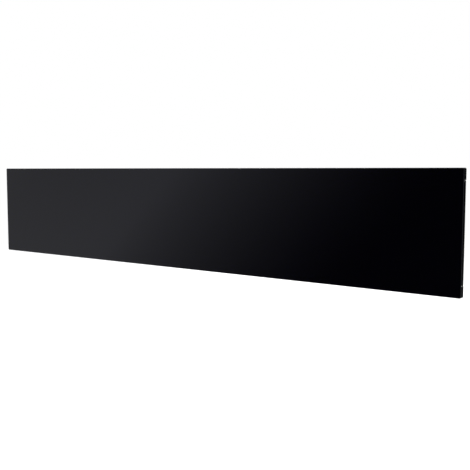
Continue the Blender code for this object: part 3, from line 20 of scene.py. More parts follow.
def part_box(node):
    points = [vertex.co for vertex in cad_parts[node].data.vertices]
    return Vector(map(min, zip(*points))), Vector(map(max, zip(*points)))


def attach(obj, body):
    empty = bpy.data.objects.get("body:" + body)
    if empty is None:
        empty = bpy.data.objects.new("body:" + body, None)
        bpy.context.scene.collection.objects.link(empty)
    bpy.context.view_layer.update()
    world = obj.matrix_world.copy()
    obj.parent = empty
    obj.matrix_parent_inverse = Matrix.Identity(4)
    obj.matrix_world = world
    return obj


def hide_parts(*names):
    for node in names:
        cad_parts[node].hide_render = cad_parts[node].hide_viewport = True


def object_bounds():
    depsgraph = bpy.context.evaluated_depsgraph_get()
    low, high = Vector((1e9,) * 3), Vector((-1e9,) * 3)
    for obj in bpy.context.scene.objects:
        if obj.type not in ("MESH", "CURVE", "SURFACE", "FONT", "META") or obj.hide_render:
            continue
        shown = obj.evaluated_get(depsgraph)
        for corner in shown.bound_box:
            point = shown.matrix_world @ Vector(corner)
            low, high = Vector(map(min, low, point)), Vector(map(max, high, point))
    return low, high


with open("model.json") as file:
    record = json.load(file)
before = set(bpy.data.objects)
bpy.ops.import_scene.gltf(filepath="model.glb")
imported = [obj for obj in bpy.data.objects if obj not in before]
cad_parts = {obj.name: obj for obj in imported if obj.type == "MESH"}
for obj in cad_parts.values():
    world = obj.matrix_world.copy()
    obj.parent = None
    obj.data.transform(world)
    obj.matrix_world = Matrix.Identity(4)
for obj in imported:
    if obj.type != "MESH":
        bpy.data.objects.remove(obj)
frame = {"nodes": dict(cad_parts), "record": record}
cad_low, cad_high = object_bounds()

nodes = frame["nodes"]
print("nodes:", len(nodes), "box:", [round(side, 4) for side in cad_high - cad_low])

# %% [markdown]
# ## The camera
#
# The panel is seen from the right and from almost the height of its top edge, with a mild telephoto
# lens that keeps the long edges calm. The camera's place is given in panel heights, so it would
# follow a panel of another size. Its sensor is the common 36 mm, so the lens is a familiar number.

# %% Place the camera
glass_low, glass_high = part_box("glass_front")
PANEL_HEIGHT = glass_high.z - glass_low.z
CAMERA_RIGHT = 5.048
CAMERA_AWAY = 5.523
CAMERA_UP = 0.982
CAMERA_TURN = 0.6683
CAMERA_DIP = 0.0863
LENS_MM = 57.55

camera_data = bpy.data.cameras.new("studio_camera")
camera_data.sensor_width = 36
camera_data.lens = LENS_MM
camera = bpy.data.objects.new("studio_camera", camera_data)
bpy.context.scene.collection.objects.link(camera)
camera.location = (
    CAMERA_RIGHT * PANEL_HEIGHT,
    glass_low.y - CAMERA_AWAY * PANEL_HEIGHT,
    glass_low.z + CAMERA_UP * PANEL_HEIGHT,
)
camera.rotation_euler = (math.pi / 2 - CAMERA_DIP, 0, CAMERA_TURN)
bpy.context.scene.camera = camera
bpy.context.scene.view_settings.view_transform = "Standard"
print("camera at", [round(value, 3) for value in camera.location])

# %% [markdown]
# ## Writing shaders as sums
#
# A material is easier to read as a line of arithmetic than as a picture of boxes and strings. One
# small class stands for a value on its way through the nodes. Adding or multiplying two of them adds
# a Math node. Another class holds the node tree, and one of its methods makes any other node.

# %% A value that does arithmetic


class Wire:
    """An output socket that can be used in sums."""

    def __init__(self, tree, socket):
        self.tree = tree
        self.socket = socket

    def math(self, operation, *values):
        return self.tree.node("ShaderNodeMath", {"operation": operation}, dict(enumerate(values)))

    def __add__(self, other):
        return self.math("ADD", self, other)

    def __radd__(self, other):
        return self.math("ADD", other, self)

    def __sub__(self, other):
        return self.math("SUBTRACT", self, other)

    def __rsub__(self, other):
        return self.math("SUBTRACT", other, self)

    def __mul__(self, other):
        return self.math("MULTIPLY", self, other)

    def __rmul__(self, other):
        return self.math("MULTIPLY", other, self)

    def __pow__(self, other):
        return self.math("POWER", self, other)

    def size(self):
        return self.math("ABSOLUTE", self)

    def wave(self):
        return self.math("SINE", self)

    def rise(self, start, end):
        """0 up to start, 1 from end, and a straight climb between them."""
        span = {"clamp": True, "interpolation_type": "LINEAR"}
        values = {"Value": self, "From Min": start, "From Max": end}
        return self.tree.node("ShaderNodeMapRange", span, values)


# %% A node tree that makes its own nodes


class Tree:
    """A node tree, with one method that adds any node."""

    def __init__(self, tree):
        self.tree = tree

    def node(self, kind, settings=None, inputs=None, output=0):
        made = self.tree.nodes.new(kind)
        for name, value in (settings or {}).items():
            if name == "stops":
                self.set_stops(made.color_ramp, value)
            else:
                setattr(made, name, value)
        for name, value in (inputs or {}).items():
            self.join(value, made.inputs[name])
        return Wire(self, made.outputs[output])

    def join(self, value, socket):
        if isinstance(value, Wire):
            self.tree.links.new(value.socket, socket)
        else:
            socket.default_value = value

    def set_stops(self, ramp, stops):
        while len(ramp.elements) < len(stops):
            ramp.elements.new(0.5)
        for element, (place, colour) in zip(ramp.elements, stops):
            element.position = place
            element.color = (*colour, 1)


# %% A material on top of that tree


class Finish(Tree):
    """A material being made: object coordinates in metres go in, and a Principled shader comes out."""

    def __init__(self, name, **sockets):
        self.material = bpy.data.materials.new(name)
        self.material.use_nodes = True
        super().__init__(self.material.node_tree)
        self.shader = self.tree.nodes["Principled BSDF"]
        self.place = self.node("ShaderNodeTexCoord", output="Object")
        for socket, value in sockets.items():
            self.set(socket.replace("_", " "), value)

    def set(self, socket, value):
        if isinstance(value, tuple):
            value = (*value, 1)
        self.join(value, self.shader.inputs[socket])

    def stretched(self, stretch):
        return self.node("ShaderNodeVectorMath", {"operation": "MULTIPLY"}, {0: self.place, 1: stretch})

    def axis(self, name):
        return self.node("ShaderNodeSeparateXYZ", inputs={0: self.place}, output="XYZ".index(name))

    def noise(self, scale, detail=3.0, stretch=(1, 1, 1), roughness=0.5):
        values = {"Vector": self.stretched(stretch), "Scale": scale}
        values.update({"Detail": detail, "Roughness": roughness})
        return self.node("ShaderNodeTexNoise", inputs=values)

    def cells(self, scale):
        values = {"Vector": self.stretched((1, 1, 1)), "Scale": scale}
        return self.node("ShaderNodeTexVoronoi", {"feature": "F1"}, values, "Distance")

    def grey(self, colour):
        return self.node("ShaderNodeSeparateColor", inputs={0: colour})

    def blend(self, share, first, second):
        first, second = ((*c, 1) if isinstance(c, tuple) else c for c in (first, second))
        values = {0: share, 6: first, 7: second}
        return self.node("ShaderNodeMix", {"data_type": "RGBA"}, values, output=2)

    def ramp(self, value, *stops):
        return self.node("ShaderNodeValToRGB", {"stops": stops}, {0: value})

    def bump(self, height, depth):
        self.set("Normal", self.node("ShaderNodeBump", inputs={"Height": height, "Distance": depth}))


print("shader helpers ready")

# %% [markdown]
# ## The studio around it
#
# Black glass has almost no colour of its own. What the eye reads as glass is the room in it. A wide
# soft light stands to the left, and its slanted edge fades out across the panel, so the glass runs
# from charcoal on the left to black on the right. The room is built into the world: each direction
# has a brightness. The camera itself sees plain white, as it would in front of a paper backdrop.

# %% The room's brightness in every direction
DARK_ROOM = 0.014
SOFT_LIGHT = 0.50
SOFT_LIGHT_EDGE = (24.5, 46)
EDGE_SLANT = 0.85
PALE_WALLS = 0.62


def room(world):
    """Brightness by direction: dark ahead of the glass, a soft light beside it, pale behind."""
    tree = Tree(world.node_tree)
    direction = tree.node("ShaderNodeTexCoord", output="Generated")
    x, y, z = (tree.node("ShaderNodeSeparateXYZ", inputs={0: direction}, output=i) for i in range(3))
    turn = x.math("ARCTAN2", 0 - x, 0 - y) * (180 / math.pi)
    climb = z.math("ARCSINE", z) * (180 / math.pi)
    from_front = turn.size() + EDGE_SLANT * (climb + 3.7)
    light = from_front.rise(*SOFT_LIGHT_EDGE) ** 2 * (1 - 0.20 * from_front.rise(48, 56))
    walls = from_front.rise(60, 95) * (0.5 + 0.7 * climb.rise(0, 70))
    shadow_side = (0 - turn).rise(85, 115) * (1 - climb.size().rise(35, 65))
    return (DARK_ROOM + SOFT_LIGHT * light + PALE_WALLS * walls) * (1 - 0.985 * shadow_side)


world = bpy.data.worlds.new("studio")
world.use_nodes = True
bpy.context.scene.world = world
studio = Tree(world.node_tree)
seen_directly = studio.node("ShaderNodeLightPath", output="Is Camera Ray")
brightness = room(world) * (1 - seen_directly) + seen_directly
studio.join(brightness, world.node_tree.nodes["Background"].inputs["Strength"])
studio.join((1, 1, 1, 1), world.node_tree.nodes["Background"].inputs["Color"])
print("room nodes:", len(world.node_tree.nodes))

# %% [markdown]
# ## Floor and light
#
# The panel hangs clear of a pale floor, which takes only a faint shadow. The floor stops short in
# front, because a polished panel would mirror it. A sheet that is seen from above only keeps the
# view from below open. One broad light hangs overhead, and a smaller one behind the box shows its
# folds and ribs in the views from the back.

# %% Make the floor and the lights
FLOOR_DROP = 0.45
FLOOR_LEFT = 5.0
FLOOR_RIGHT = 1.3
FLOOR_FRONT = 2.2
FLOOR_BACK = 6.5


def pale_paper():
    paper = Finish("pale_paper", Roughness=0.9, Emission_Strength=0.3)
    paper.set("Emission Color", (1.0, 1.0, 1.0))
    paper.set("Specular IOR Level", 0.0)
    paper.set("Base Color", paper.blend(paper.noise(2.0), (0.90, 0.90, 0.90), (0.92, 0.92, 0.92)))
    below = paper.node("ShaderNodeNewGeometry", output="Backfacing")
    clear = paper.node("ShaderNodeBsdfTransparent")
    shown = Wire(paper, paper.shader.outputs[0])
    surface = paper.node("ShaderNodeMixShader", inputs={0: below, 1: shown, 2: clear})
    paper.join(surface, paper.tree.nodes["Material Output"].inputs["Surface"])
    return paper.material


def make_floor():
    level = cad_low.z - FLOOR_DROP
    near = [(x, -FLOOR_FRONT, level) for x in (-FLOOR_LEFT, FLOOR_RIGHT)]
    far = [(x, FLOOR_BACK, level) for x in (FLOOR_RIGHT, -FLOOR_LEFT)]
    mesh = bpy.data.meshes.new("floor")
    mesh.from_pydata(near + far, [], [(0, 1, 2, 3)])
    mesh.materials.append(pale_paper())
    floor = bpy.data.objects.new("floor", mesh)
    bpy.context.scene.collection.objects.link(floor)


def make_light(name, place, size, watts, aim=None):
    data = bpy.data.lights.new(name, "AREA")
    data.shape = "RECTANGLE"
    data.size, data.size_y = size
    data.energy = watts
    light = bpy.data.objects.new(name, data)
    light.location = place
    if aim:
        light.rotation_euler = (Vector(aim) - Vector(place)).to_track_quat("-Z", "Y").to_euler()
    bpy.context.scene.collection.objects.link(light)


make_floor()
make_light("overhead_light", (0, 0.4, 3.0), (4.0, 3.0), 80)
make_light("back_light", (-1.6, 2.6, 1.7), (1.0, 1.0), 45, aim=(0, 0, 0.1))
print("floor at", round(cad_low.z - FLOOR_DROP, 3))

# %% [markdown]
# # Finishes
#
# Each finish below is one short function. Object coordinates are in metres, so a scale of 900 makes
# marks about a millimetre across, the same on every piece.

# %% [markdown]
# ## Smoked glass
#
# The front is 3 mm glass with a black ceramic print fired on its back. Float glass is truly flat, so
# it gets no bump at all. What it does have is a faint film left by wiping, which shows only as small
# changes in roughness, and a satin edge where the seaming belt has passed.

# %% Smoked glass


def smoked_glass():
    glass = Finish("smoked_glass", IOR=1.5, Specular_Tint=(0.85, 0.86, 1.0))
    wiped = glass.noise(9, 5, (1, 1, 3), 0.6).rise(0.45, 0.75)
    specks = glass.noise(700, 1).rise(0.74, 0.80)
    normal = glass.node("ShaderNodeTexCoord", output="Normal")
    across = glass.node("ShaderNodeSeparateXYZ", inputs={0: normal}, output="Y").size()
    ground = 1 - across.rise(0.94, 0.99)
    glass.set("Base Color", glass.blend(ground, (0.0002, 0.0001, 0.0012), (0.006, 0.007, 0.008)))
    glass.set("Roughness", 0.035 + 0.03 * wiped + 0.10 * specks + 0.30 * ground)
    return glass


# %% [markdown]
# ## Black powder coat
#
# The folded tray and the inner faces are powder coated. Baked powder is never quite smooth: it has
# a shallow orange peel about a millimetre across and a finer grain on top. It is a dull black that
# turns no lighter at a shallow angle, so the specular level is kept low.

# %% Black powder coat


def black_powder_coat():
    coat = Finish("black_powder_coat", Specular_IOR_Level=0.08)
    peel = coat.noise(650, 2)
    grain = coat.noise(3200, 2)
    tone = coat.noise(14, 3).rise(0.35, 0.7)
    coat.set("Base Color", coat.blend(tone, (0.0020, 0.0020, 0.0023), (0.0036, 0.0036, 0.0041)))
    coat.set("Roughness", 0.42 + 0.16 * peel)
    coat.bump(peel + 0.35 * grain, 0.00006)
    return coat


# %% [markdown]
# ## Galvanised sheet
#
# The box is hot-dip galvanised. Zinc freezes in crystals that reflect light each in its own way,
# which is the spangle. A Voronoi texture gives every crystal one random value, and that value moves
# both its brightness and its roughness. Finer rolling lines and dull patches lie over it. Each sheet
# shifts the pattern by its own random amount, so no two of them match.

# %% Galvanised sheet


def galvanised_sheet():
    zinc = Finish("galvanised_sheet", Metallic=1.0)
    own = zinc.node("ShaderNodeObjectInfo", output="Random") * 3
    shift = own + zinc.noise(90, 2) * 0.005
    spread = zinc.node("ShaderNodeVectorMath", {"operation": "ADD"}, {0: zinc.place, 1: shift})
    spangle = zinc.node("ShaderNodeTexVoronoi", inputs={"Vector": spread, "Scale": 200.0}, output="Color")
    crystal = zinc.grey(spangle)
    rolled = zinc.noise(40, 3, (1, 60, 60))
    dull = zinc.noise(5, 4).rise(0.45, 0.75)
    shade = 0.38 * crystal + 0.28 * rolled + 0.34 * (1 - dull)
    greys = (0.15, (0.24, 0.25, 0.262)), (0.55, (0.37, 0.382, 0.395)), (0.9, (0.54, 0.55, 0.56))
    zinc.set("Base Color", zinc.ramp(shade, *greys))
    zinc.set("Roughness", 0.30 + 0.20 * crystal + 0.12 * dull)
    zinc.bump(crystal + 0.5 * rolled, 0.00002)
    return zinc


# %% [markdown]
# ## Bright zinc plate
#
# Brackets, magnets and screws are electroplated: brighter than the sheet, with a clear passivate
# that turns faintly blue in some places and straw in others.

# %% Bright zinc plate


def bright_zinc():
    plate = Finish("bright_zinc", Metallic=1.0)
    drift = plate.noise(110, 3)
    scuffs = plate.noise(300, 3, (0.12, 1, 1)).rise(0.5, 0.8)
    tints = (0.3, (0.66, 0.69, 0.76)), (0.5, (0.74, 0.74, 0.74)), (0.72, (0.76, 0.72, 0.62))
    plate.set("Base Color", plate.ramp(drift, *tints))
    plate.set("Roughness", 0.20 + 0.16 * scuffs + 0.06 * drift)
    plate.bump(scuffs, 0.00001)
    return plate


# %% [markdown]
# ## Polished aluminium, and the brushed case
#
# The plate behind the flames and the paddles are bright reflector sheet. It is close to a mirror,
# with fine lines from rolling. The driver's case is the same metal, brushed and clear anodised.

# %% Aluminium


def polished_aluminium():
    mirror = Finish("polished_aluminium", Metallic=1.0)
    lines = mirror.noise(55, 4, (1, 50, 50))
    film = mirror.noise(12, 4).rise(0.45, 0.8)
    mirror.set("Base Color", mirror.blend(lines, (0.80, 0.81, 0.82), (0.91, 0.915, 0.92)))
    mirror.set("Roughness", 0.07 + 0.10 * lines + 0.08 * film)
    mirror.bump(lines, 0.000008)
    return mirror


def aluminium_case():
    case = Finish("aluminium_case", Metallic=1.0)
    lines = case.noise(90, 5, (1, 70, 70), 0.7)
    case.set("Base Color", case.blend(lines, (0.52, 0.53, 0.54), (0.72, 0.725, 0.73)))
    case.set("Roughness", 0.30 + 0.20 * lines)
    case.bump(lines, 0.00002)
    return case


# %% [markdown]
# ## Circuit board
#
# Copper tracks under green solder mask read as slightly lighter lines that run square to each other.
# Two Voronoi fields with square cells give the blocky spread of tracks, and the edges between their
# cells are the tracks themselves.

# %% Circuit board


def circuit_board():
    board = Finish("circuit_board", Coat_Weight=0.35, Coat_Roughness=0.2)
    square = {"distance": "CHEBYCHEV", "feature": "F1"}
    fields = []
    for scale, loose in ((190.0, 0.75), (420.0, 0.6)):
        values = {"Vector": board.place, "Scale": scale, "Randomness": loose}
        fields.append(board.node("ShaderNodeTexVoronoi", square, values))
    wide, fine = fields
    rings = ((wide * 60).wave() * 0.5 + 0.5).rise(0.55, 0.75)
    pads = 1 - fine.rise(0.10, 0.16)
    green = board.blend(rings, (0.006, 0.055, 0.022), (0.020, 0.135, 0.050))
    board.set("Base Color", board.blend(pads * 0.85, green, (0.62, 0.60, 0.52)))
    board.set("Roughness", 0.42 - 0.14 * pads)
    board.bump(rings + pads, 0.00003)
    return board


# %% [markdown]
# ## Screen, clear shelf and glass chips
#
# The flame screen is sanded acrylic: light goes through it, but nothing behind it can be made out.
# The ember shelf is the same plastic left clear, with light scratches. The chips are tempered glass,
# mostly clear, with some smoke and amber ones, so each loose chip gets its own colour.

# %% See-through finishes


def flame_diffuser():
    screen = Finish("flame_diffuser", Transmission_Weight=0.30, IOR=1.49, Specular_IOR_Level=0.35)
    sanding = screen.noise(1500, 3, (1, 1, 0.25))
    cloud = screen.noise(7, 3)
    screen.set("Base Color", screen.blend(cloud, (0.50, 0.51, 0.53), (0.60, 0.61, 0.63)))
    screen.set("Roughness", 0.52 + 0.18 * sanding)
    screen.bump(sanding, 0.00004)
    return screen


def clear_plastic():
    sheet = Finish("clear_plastic", Transmission_Weight=0.92, IOR=1.49)
    scratches = sheet.noise(240, 4, (0.05, 1, 1)).rise(0.62, 0.72)
    sheet.set("Base Color", sheet.blend(scratches, (0.93, 0.95, 0.96), (0.80, 0.82, 0.84)))
    sheet.set("Roughness", 0.06 + 0.35 * scratches)
    sheet.bump(scratches, 0.00002)
    return sheet


def crystal():
    chips = Finish("crystal", Transmission_Weight=0.55, IOR=1.52)
    own = chips.node("ShaderNodeNewGeometry", output="Random Per Island")
    clouded = chips.noise(260, 3).rise(0.4, 0.75)
    clear = (0.0, (0.93, 0.96, 0.98)), (0.55, (0.80, 0.86, 0.90))
    smoked = (0.72, (0.34, 0.38, 0.42))
    amber = (0.86, (0.86, 0.52, 0.20)), (1.0, (0.96, 0.90, 0.80))
    colour = chips.ramp(own, *clear, smoked, *amber)
    chips.set("Base Color", chips.blend(clouded * 0.5, colour, (0.95, 0.96, 0.97)))
    chips.set("Roughness", 0.02 + 0.16 * clouded)
    chips.bump(chips.noise(900, 2), 0.00005)
    return chips


# %% [markdown]
# ## Driftwood
#
# The logs are cast resin painted as silvered driftwood. The grain runs along the length, so the noise is
# stretched many times along X. Checks open as sunken cracks where the grain is deepest, and their
# near-black colour is painted shade for the inside of the cracks. A warm brown shows in patches where the
# silver has not reached.

# %% Driftwood


def driftwood():
    wood = Finish("driftwood", Specular_IOR_Level=0.25)
    sweep = wood.noise(22, 3, (0.25, 1, 1)) * 1.2
    grain = wood.noise(130, 6, (0.055, 1, 1), 0.62)
    rings = ((grain * 34 + sweep * 9).wave() * 0.5 + 0.5)
    cracks_and_painted_shade = 1 - wood.noise(210, 4, (0.035, 1, 1), 0.7).rise(0.28, 0.40)
    silver = wood.noise(30, 4, (0.35, 1, 1)).rise(0.36, 0.62)
    body = wood.blend(rings, (0.120, 0.078, 0.048), (0.255, 0.190, 0.135))
    pale = wood.blend(rings, (0.250, 0.220, 0.190), (0.430, 0.400, 0.360))
    weathered = wood.blend(silver, body, pale)
    # The near-black in the checks is painted shade: the shadow inside the sunken cracks, put into the
    # colour.
    wood.set("Base Color", wood.blend(cracks_and_painted_shade * 0.85, weathered, (0.030, 0.020, 0.014)))
    wood.set("Roughness", 0.62 + 0.25 * grain)
    wood.bump(0.6 * rings + grain - 1.6 * cracks_and_painted_shade, 0.00035)
    return wood


# %% [markdown]
# ## Plastics and rubber
#
# Moulded parts copy the surface of their tool. Black parts are spark eroded to a fine even grain.
# The nylon bushes come from a polished tool, and are slightly yellow and waxy. Rubber is dull, with
# a bloom of pale dust. The tape is a black acrylic foam whose cut edge shows its pores.

# %% Plastics and rubber


def black_plastic():
    moulded = Finish("black_plastic", Specular_IOR_Level=0.4)
    grain = moulded.cells(2600)
    tone = moulded.noise(40)
    moulded.set("Base Color", moulded.blend(tone, (0.010, 0.010, 0.011), (0.017, 0.017, 0.018)))
    moulded.set("Roughness", 0.40 + 0.18 * grain)
    moulded.bump(grain, 0.00005)
    return moulded


def white_nylon():
    nylon = Finish("white_nylon", Subsurface_Weight=0.15, Subsurface_Scale=0.002)
    flow = nylon.noise(70, 3, (1, 1, 0.3))
    nylon.set("Base Color", nylon.blend(flow, (0.72, 0.70, 0.62), (0.83, 0.81, 0.75)))
    nylon.set("Roughness", 0.34 + 0.14 * flow)
    nylon.bump(nylon.noise(900, 2), 0.00002)
    return nylon


def rubber():
    soft = Finish("rubber", Specular_IOR_Level=0.3)
    bloom = soft.noise(120, 4).rise(0.45, 0.75)
    soft.set("Base Color", soft.blend(bloom, (0.012, 0.012, 0.012), (0.035, 0.034, 0.033)))
    soft.set("Roughness", 0.70 + 0.20 * bloom)
    soft.bump(soft.noise(1600, 2), 0.00004)
    return soft


def bonding_tape():
    foam = Finish("bonding_tape", Specular_IOR_Level=0.2)
    pores = foam.cells(2200)
    foam.set("Base Color", foam.blend(pores.rise(0.1, 0.6), (0.004, 0.004, 0.004), (0.020, 0.020, 0.021)))
    foam.set("Roughness", 0.72 + 0.18 * pores)
    foam.bump(pores, 0.00008)
    return foam


# %% [markdown]
# ## Bronze and the leads' sleeving
#
# The blower runs in an oil-filled sintered bush, which is bronze with open pores. The leads near the
# heater wear a woven glass sleeve. Two sine waves that cross on the diagonal give its braid.

# %% Bronze and sleeving


def sintered_bronze():
    bronze = Finish("sintered_bronze", Metallic=0.95)
    pores = 1 - bronze.cells(2400).rise(0.12, 0.42)
    bronze.set("Base Color", bronze.blend(pores, (0.46, 0.29, 0.15), (0.10, 0.06, 0.03)))
    bronze.set("Roughness", 0.36 + 0.30 * pores)
    bronze.bump(1 - pores, 0.00005)
    return bronze


def lead_insulation():
    sleeve = Finish("lead_insulation", Specular_IOR_Level=0.35)
    along, across, up = (sleeve.axis(name) for name in "XYZ")
    braid = ((along + across + up) * 5200).wave() * ((along - across - up) * 5200).wave()
    threads = braid * 0.5 + 0.5
    soiled = sleeve.noise(30, 3).rise(0.45, 0.75)
    clean = sleeve.blend(threads, (0.42, 0.39, 0.33), (0.74, 0.71, 0.64))
    sleeve.set("Base Color", sleeve.blend(soiled * 0.5, clean, (0.30, 0.27, 0.22)))
    sleeve.set("Roughness", 0.55 + 0.2 * threads)
    sleeve.bump(threads, 0.00012)
    return sleeve


# %% Make every finish once
FINISH_MAKERS = (
    smoked_glass, black_powder_coat, galvanised_sheet, bright_zinc, polished_aluminium,
    aluminium_case, circuit_board, flame_diffuser, clear_plastic, crystal, driftwood,
    black_plastic, white_nylon, rubber, bonding_tape, sintered_bronze, lead_insulation,
)
finishes = {maker.__name__: maker().material for maker in FINISH_MAKERS}
print("finishes:", ", ".join(finishes))

# %% [markdown]
# # The CAD pieces, dressed
#
# The CAD solids already have the right shapes, but their edges are perfectly sharp, and nothing
# real is. A sharp edge catches no light, so every folded, cut or moulded piece gets a small round on
# its edges. The solids arrive with split corners, so a Weld joins them first and a Bevel rounds them.
# A Weighted Normal then lets each large face keep its own direction. Without it the narrow rounds
# would bend the shading of the whole panel, and its mirror image with it. The thinnest sheets have no
# room for a round, and an Edge Split keeps their corners crisp.

# %% Round the edges of the CAD solids
EDGE_ROUND = {
    "smoked_glass": 0.00012, "bonding_tape": 0.0001, "black_powder_coat": 0.00035,
    "galvanised_sheet": 0.0003, "bright_zinc": 0.00035, "polished_aluminium": 0.0001,
    "circuit_board": 0.0002, "flame_diffuser": 0.0002, "clear_plastic": 0.0004,
}
USUAL_ROUND = 0.00025
NO_ROUND = {"blower_wheel", "flame_spindle", "heating_element", "flame_cutout_plate"}
WELD_WITHIN = 0.000002
CRISP_ANGLE = math.radians(35)
FOLD_ANGLE = math.radians(22)
FLAT_WEIGHT = 90


def round_edges(piece, radius):
    for attribute in ("custom_normal", "sharp_edge", "sharp_face"):
        if attribute in piece.data.attributes:
            piece.data.attributes.remove(piece.data.attributes[attribute])
    piece.data.polygons.foreach_set("use_smooth", [True] * len(piece.data.polygons))
    weld = piece.modifiers.new("weld", "WELD")
    weld.merge_threshold = WELD_WITHIN
    if not radius:
        piece.modifiers.new("crisp", "EDGE_SPLIT").split_angle = CRISP_ANGLE
        return
    bevel = piece.modifiers.new("edges", "BEVEL")
    bevel.width = radius
    bevel.segments = 2
    bevel.limit_method = "ANGLE"
    bevel.angle_limit = FOLD_ANGLE
    flats = piece.modifiers.new("flats", "WEIGHTED_NORMAL")
    flats.weight = FLAT_WEIGHT


def dress_nodes():
    slot_of = {part["node"]: part["material_slot"] for part in frame["record"]["subparts"]}
    for name, piece in nodes.items():
        slot = slot_of[name]
        piece.data.materials.clear()
        piece.data.materials.append(finishes[slot])
        round_edges(piece, 0 if name in NO_ROUND else EDGE_ROUND.get(slot, USUAL_ROUND))
    return slot_of


slot_of_node = dress_nodes()
print("dressed", len(slot_of_node), "nodes")

# %% [markdown]
# # Shapes that the CAD leaves out
#
# The CAD keeps each piece to one plain solid. Screws, rivets, chips, bark and lamps are added here.
# A shape is a pair: a list of points and a list of faces. Shapes are turned round an axis, moved and
# joined as plain lists of numbers, and only a finished piece becomes a Blender object.

# %% Turn, move and join shapes


def lathe(profile, sides):
    """Turns (radius, height) pairs about Z. A radius of 0 closes that end."""
    points, rings, faces = [], [], []
    for radius, height in profile:
        steps = sides if radius > 0 else 1
        rings.append(range(len(points), len(points) + steps))
        for step in range(steps):
            angle = 2 * math.pi * step / steps
            points.append((radius * math.cos(angle), radius * math.sin(angle), height))
    for low, high in zip(rings, rings[1:]):
        for step in range(sides):
            after = (step + 1) % sides
            corners = [low[step % len(low)], low[after % len(low)]]
            corners += [high[after % len(high)], high[step % len(high)]]
            faces.append(tuple(dict.fromkeys(corners)))
    return np.array(points, float), [face for face in faces if len(face) > 2]


def tube(profile, sides):
    """Like lathe, but the profile is a closed loop that never meets the axis."""
    points, faces = lathe(profile, sides)
    last = (len(profile) - 1) * sides
    for step in range(sides):
        after = (step + 1) % sides
        faces.append((last + step, last + after, after, step))
    return points, faces


def block(size, chamfer=0.0):
    """A box about the origin whose top and upright edges are chamfered."""
    x, y, z = (side / 2 for side in size)
    c = chamfer
    rim = [(x - c, y), (x, y - c), (x, c - y), (x - c, -y)]
    rim += [(c - x, -y), (-x, c - y), (-x, y - c), (c - x, y)]
    if not c:
        rim = [(x, y), (x, -y), (-x, -y), (-x, y)]
    shrink = (max(x - c, 1e-6) / x, max(y - c, 1e-6) / y)
    levels = [(1, 1, -z), (1, 1, z - c), (*shrink, z)] if c else [(1, 1, -z), (1, 1, z)]
    points = [(px * sx, py * sy, level) for sx, sy, level in levels for px, py in rim]
    n = len(rim)
    faces = [tuple(range(n)), tuple(reversed(range(len(points) - n, len(points))))]
    for below in range(0, (len(levels) - 1) * n, n):
        for step in range(n):
            after = (step + 1) % n
            faces.append((below + after, below + step, below + n + step, below + n + after))
    return np.array(points, float), faces


def prism(outline, levels):
    """A solid between two copies of an outline. Each level is a (share, height) pair."""
    count = len(outline)
    points = [(x * share, y * share, height) for share, height in levels for x, y in outline]
    faces = [tuple(range(count)), tuple(reversed(range(count, 2 * count)))]
    faces += [(i, (i + 1) % count, count + (i + 1) % count, count + i) for i in range(count)]
    return np.array(points, float), faces


def moved(shape, matrix):
    points, faces = shape
    matrix = np.array(matrix)
    return points @ matrix[:3, :3].T + matrix[:3, 3], faces


def joined(shapes):
    points, faces, start = [], [], 0
    for own_points, own_faces in shapes:
        points.append(own_points)
        faces += [tuple(index + start for index in face) for face in own_faces]
        start += len(own_points)
    return np.concatenate(points), faces


def standing(place, direction, turn=0.0):
    """The matrix that puts a shape's Z axis along direction, at place."""
    aim = Vector(direction).to_track_quat("Z", "Y").to_matrix().to_4x4()
    return Matrix.Translation(place) @ aim @ Matrix.Rotation(turn, 4, "Z")


# %% Make a piece of the model from a shape
made_pieces = []


def shape_object(name, shape):
    """Turns a shape into a Blender object whose faces all point outwards."""
    points, faces = shape
    mesh = bpy.data.meshes.new(name)
    mesh.from_pydata([tuple(point) for point in points], [], faces)
    work = bmesh.new()
    work.from_mesh(mesh)
    bmesh.ops.recalc_face_normals(work, faces=work.faces)
    work.to_mesh(mesh)
    work.free()
    made = bpy.data.objects.new(name, mesh)
    bpy.context.scene.collection.objects.link(made)
    return made


def add_piece(name, shape, slot, body="chassis", smooth=40, stands_for=()):
    """Adds a shape to the model with a finish, riding on a body."""
    piece = shape_object(name, shape)
    mesh = piece.data
    mesh.shade_smooth()
    mesh.set_sharp_from_angle(angle=math.radians(smooth))
    mesh.materials.append(finishes[slot])
    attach(piece, body)
    if stands_for:
        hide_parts(*stands_for)
    made_pieces.append(name)
    print(name, len(mesh.polygons), "faces")
    return piece


# %% [markdown]
# ## Screws and rivets
#
# Two fixings hold most of it. The screws are pan heads with a cross recess: a domed disc, with a
# four-armed pit cut by a Boolean once, and then copied. The rivets are the blind kind, a low dome
# with a pulled stem in a dimple, so they are turned from one profile.

# %% One screw head and one rivet head


def cut(shape, cutter):
    """The first shape less the second, with an exact Boolean."""
    objects = [shape_object("blank", shape), shape_object("cutter", cutter)]
    boolean = objects[0].modifiers.new("pit", "BOOLEAN")
    boolean.object = objects[1]
    boolean.solver = "EXACT"
    result = objects[0].evaluated_get(bpy.context.evaluated_depsgraph_get()).to_mesh()
    points = np.array([tuple(vertex.co) for vertex in result.vertices], float)
    faces = [tuple(polygon.vertices) for polygon in result.polygons]
    for used in objects:
        bpy.data.objects.remove(used)
    return points, faces


def screw_head(radius, height):
    """A pan head: a straight side up to a dome, with a tapered cross recess in it."""
    dome = [(0, -0.4 * height), (radius, -0.4 * height), (radius, 0.25 * height)]
    dome += [(0.93 * radius, 0.62 * height), (0.75 * radius, 0.86 * height)]
    dome += [(0.4 * radius, 0.98 * height), (0, height)]
    arm, wide = 0.62 * radius, 0.17 * radius
    outline = [(wide, arm), (wide, wide), (arm, wide), (arm, -wide), (wide, -wide), (wide, -arm)]
    outline += [(-x, -y) for x, y in outline]
    recess = prism(outline, ((0.35, 0.30 * height), (1.0, 1.4 * height)))
    return cut(lathe(dome, 24), recess)


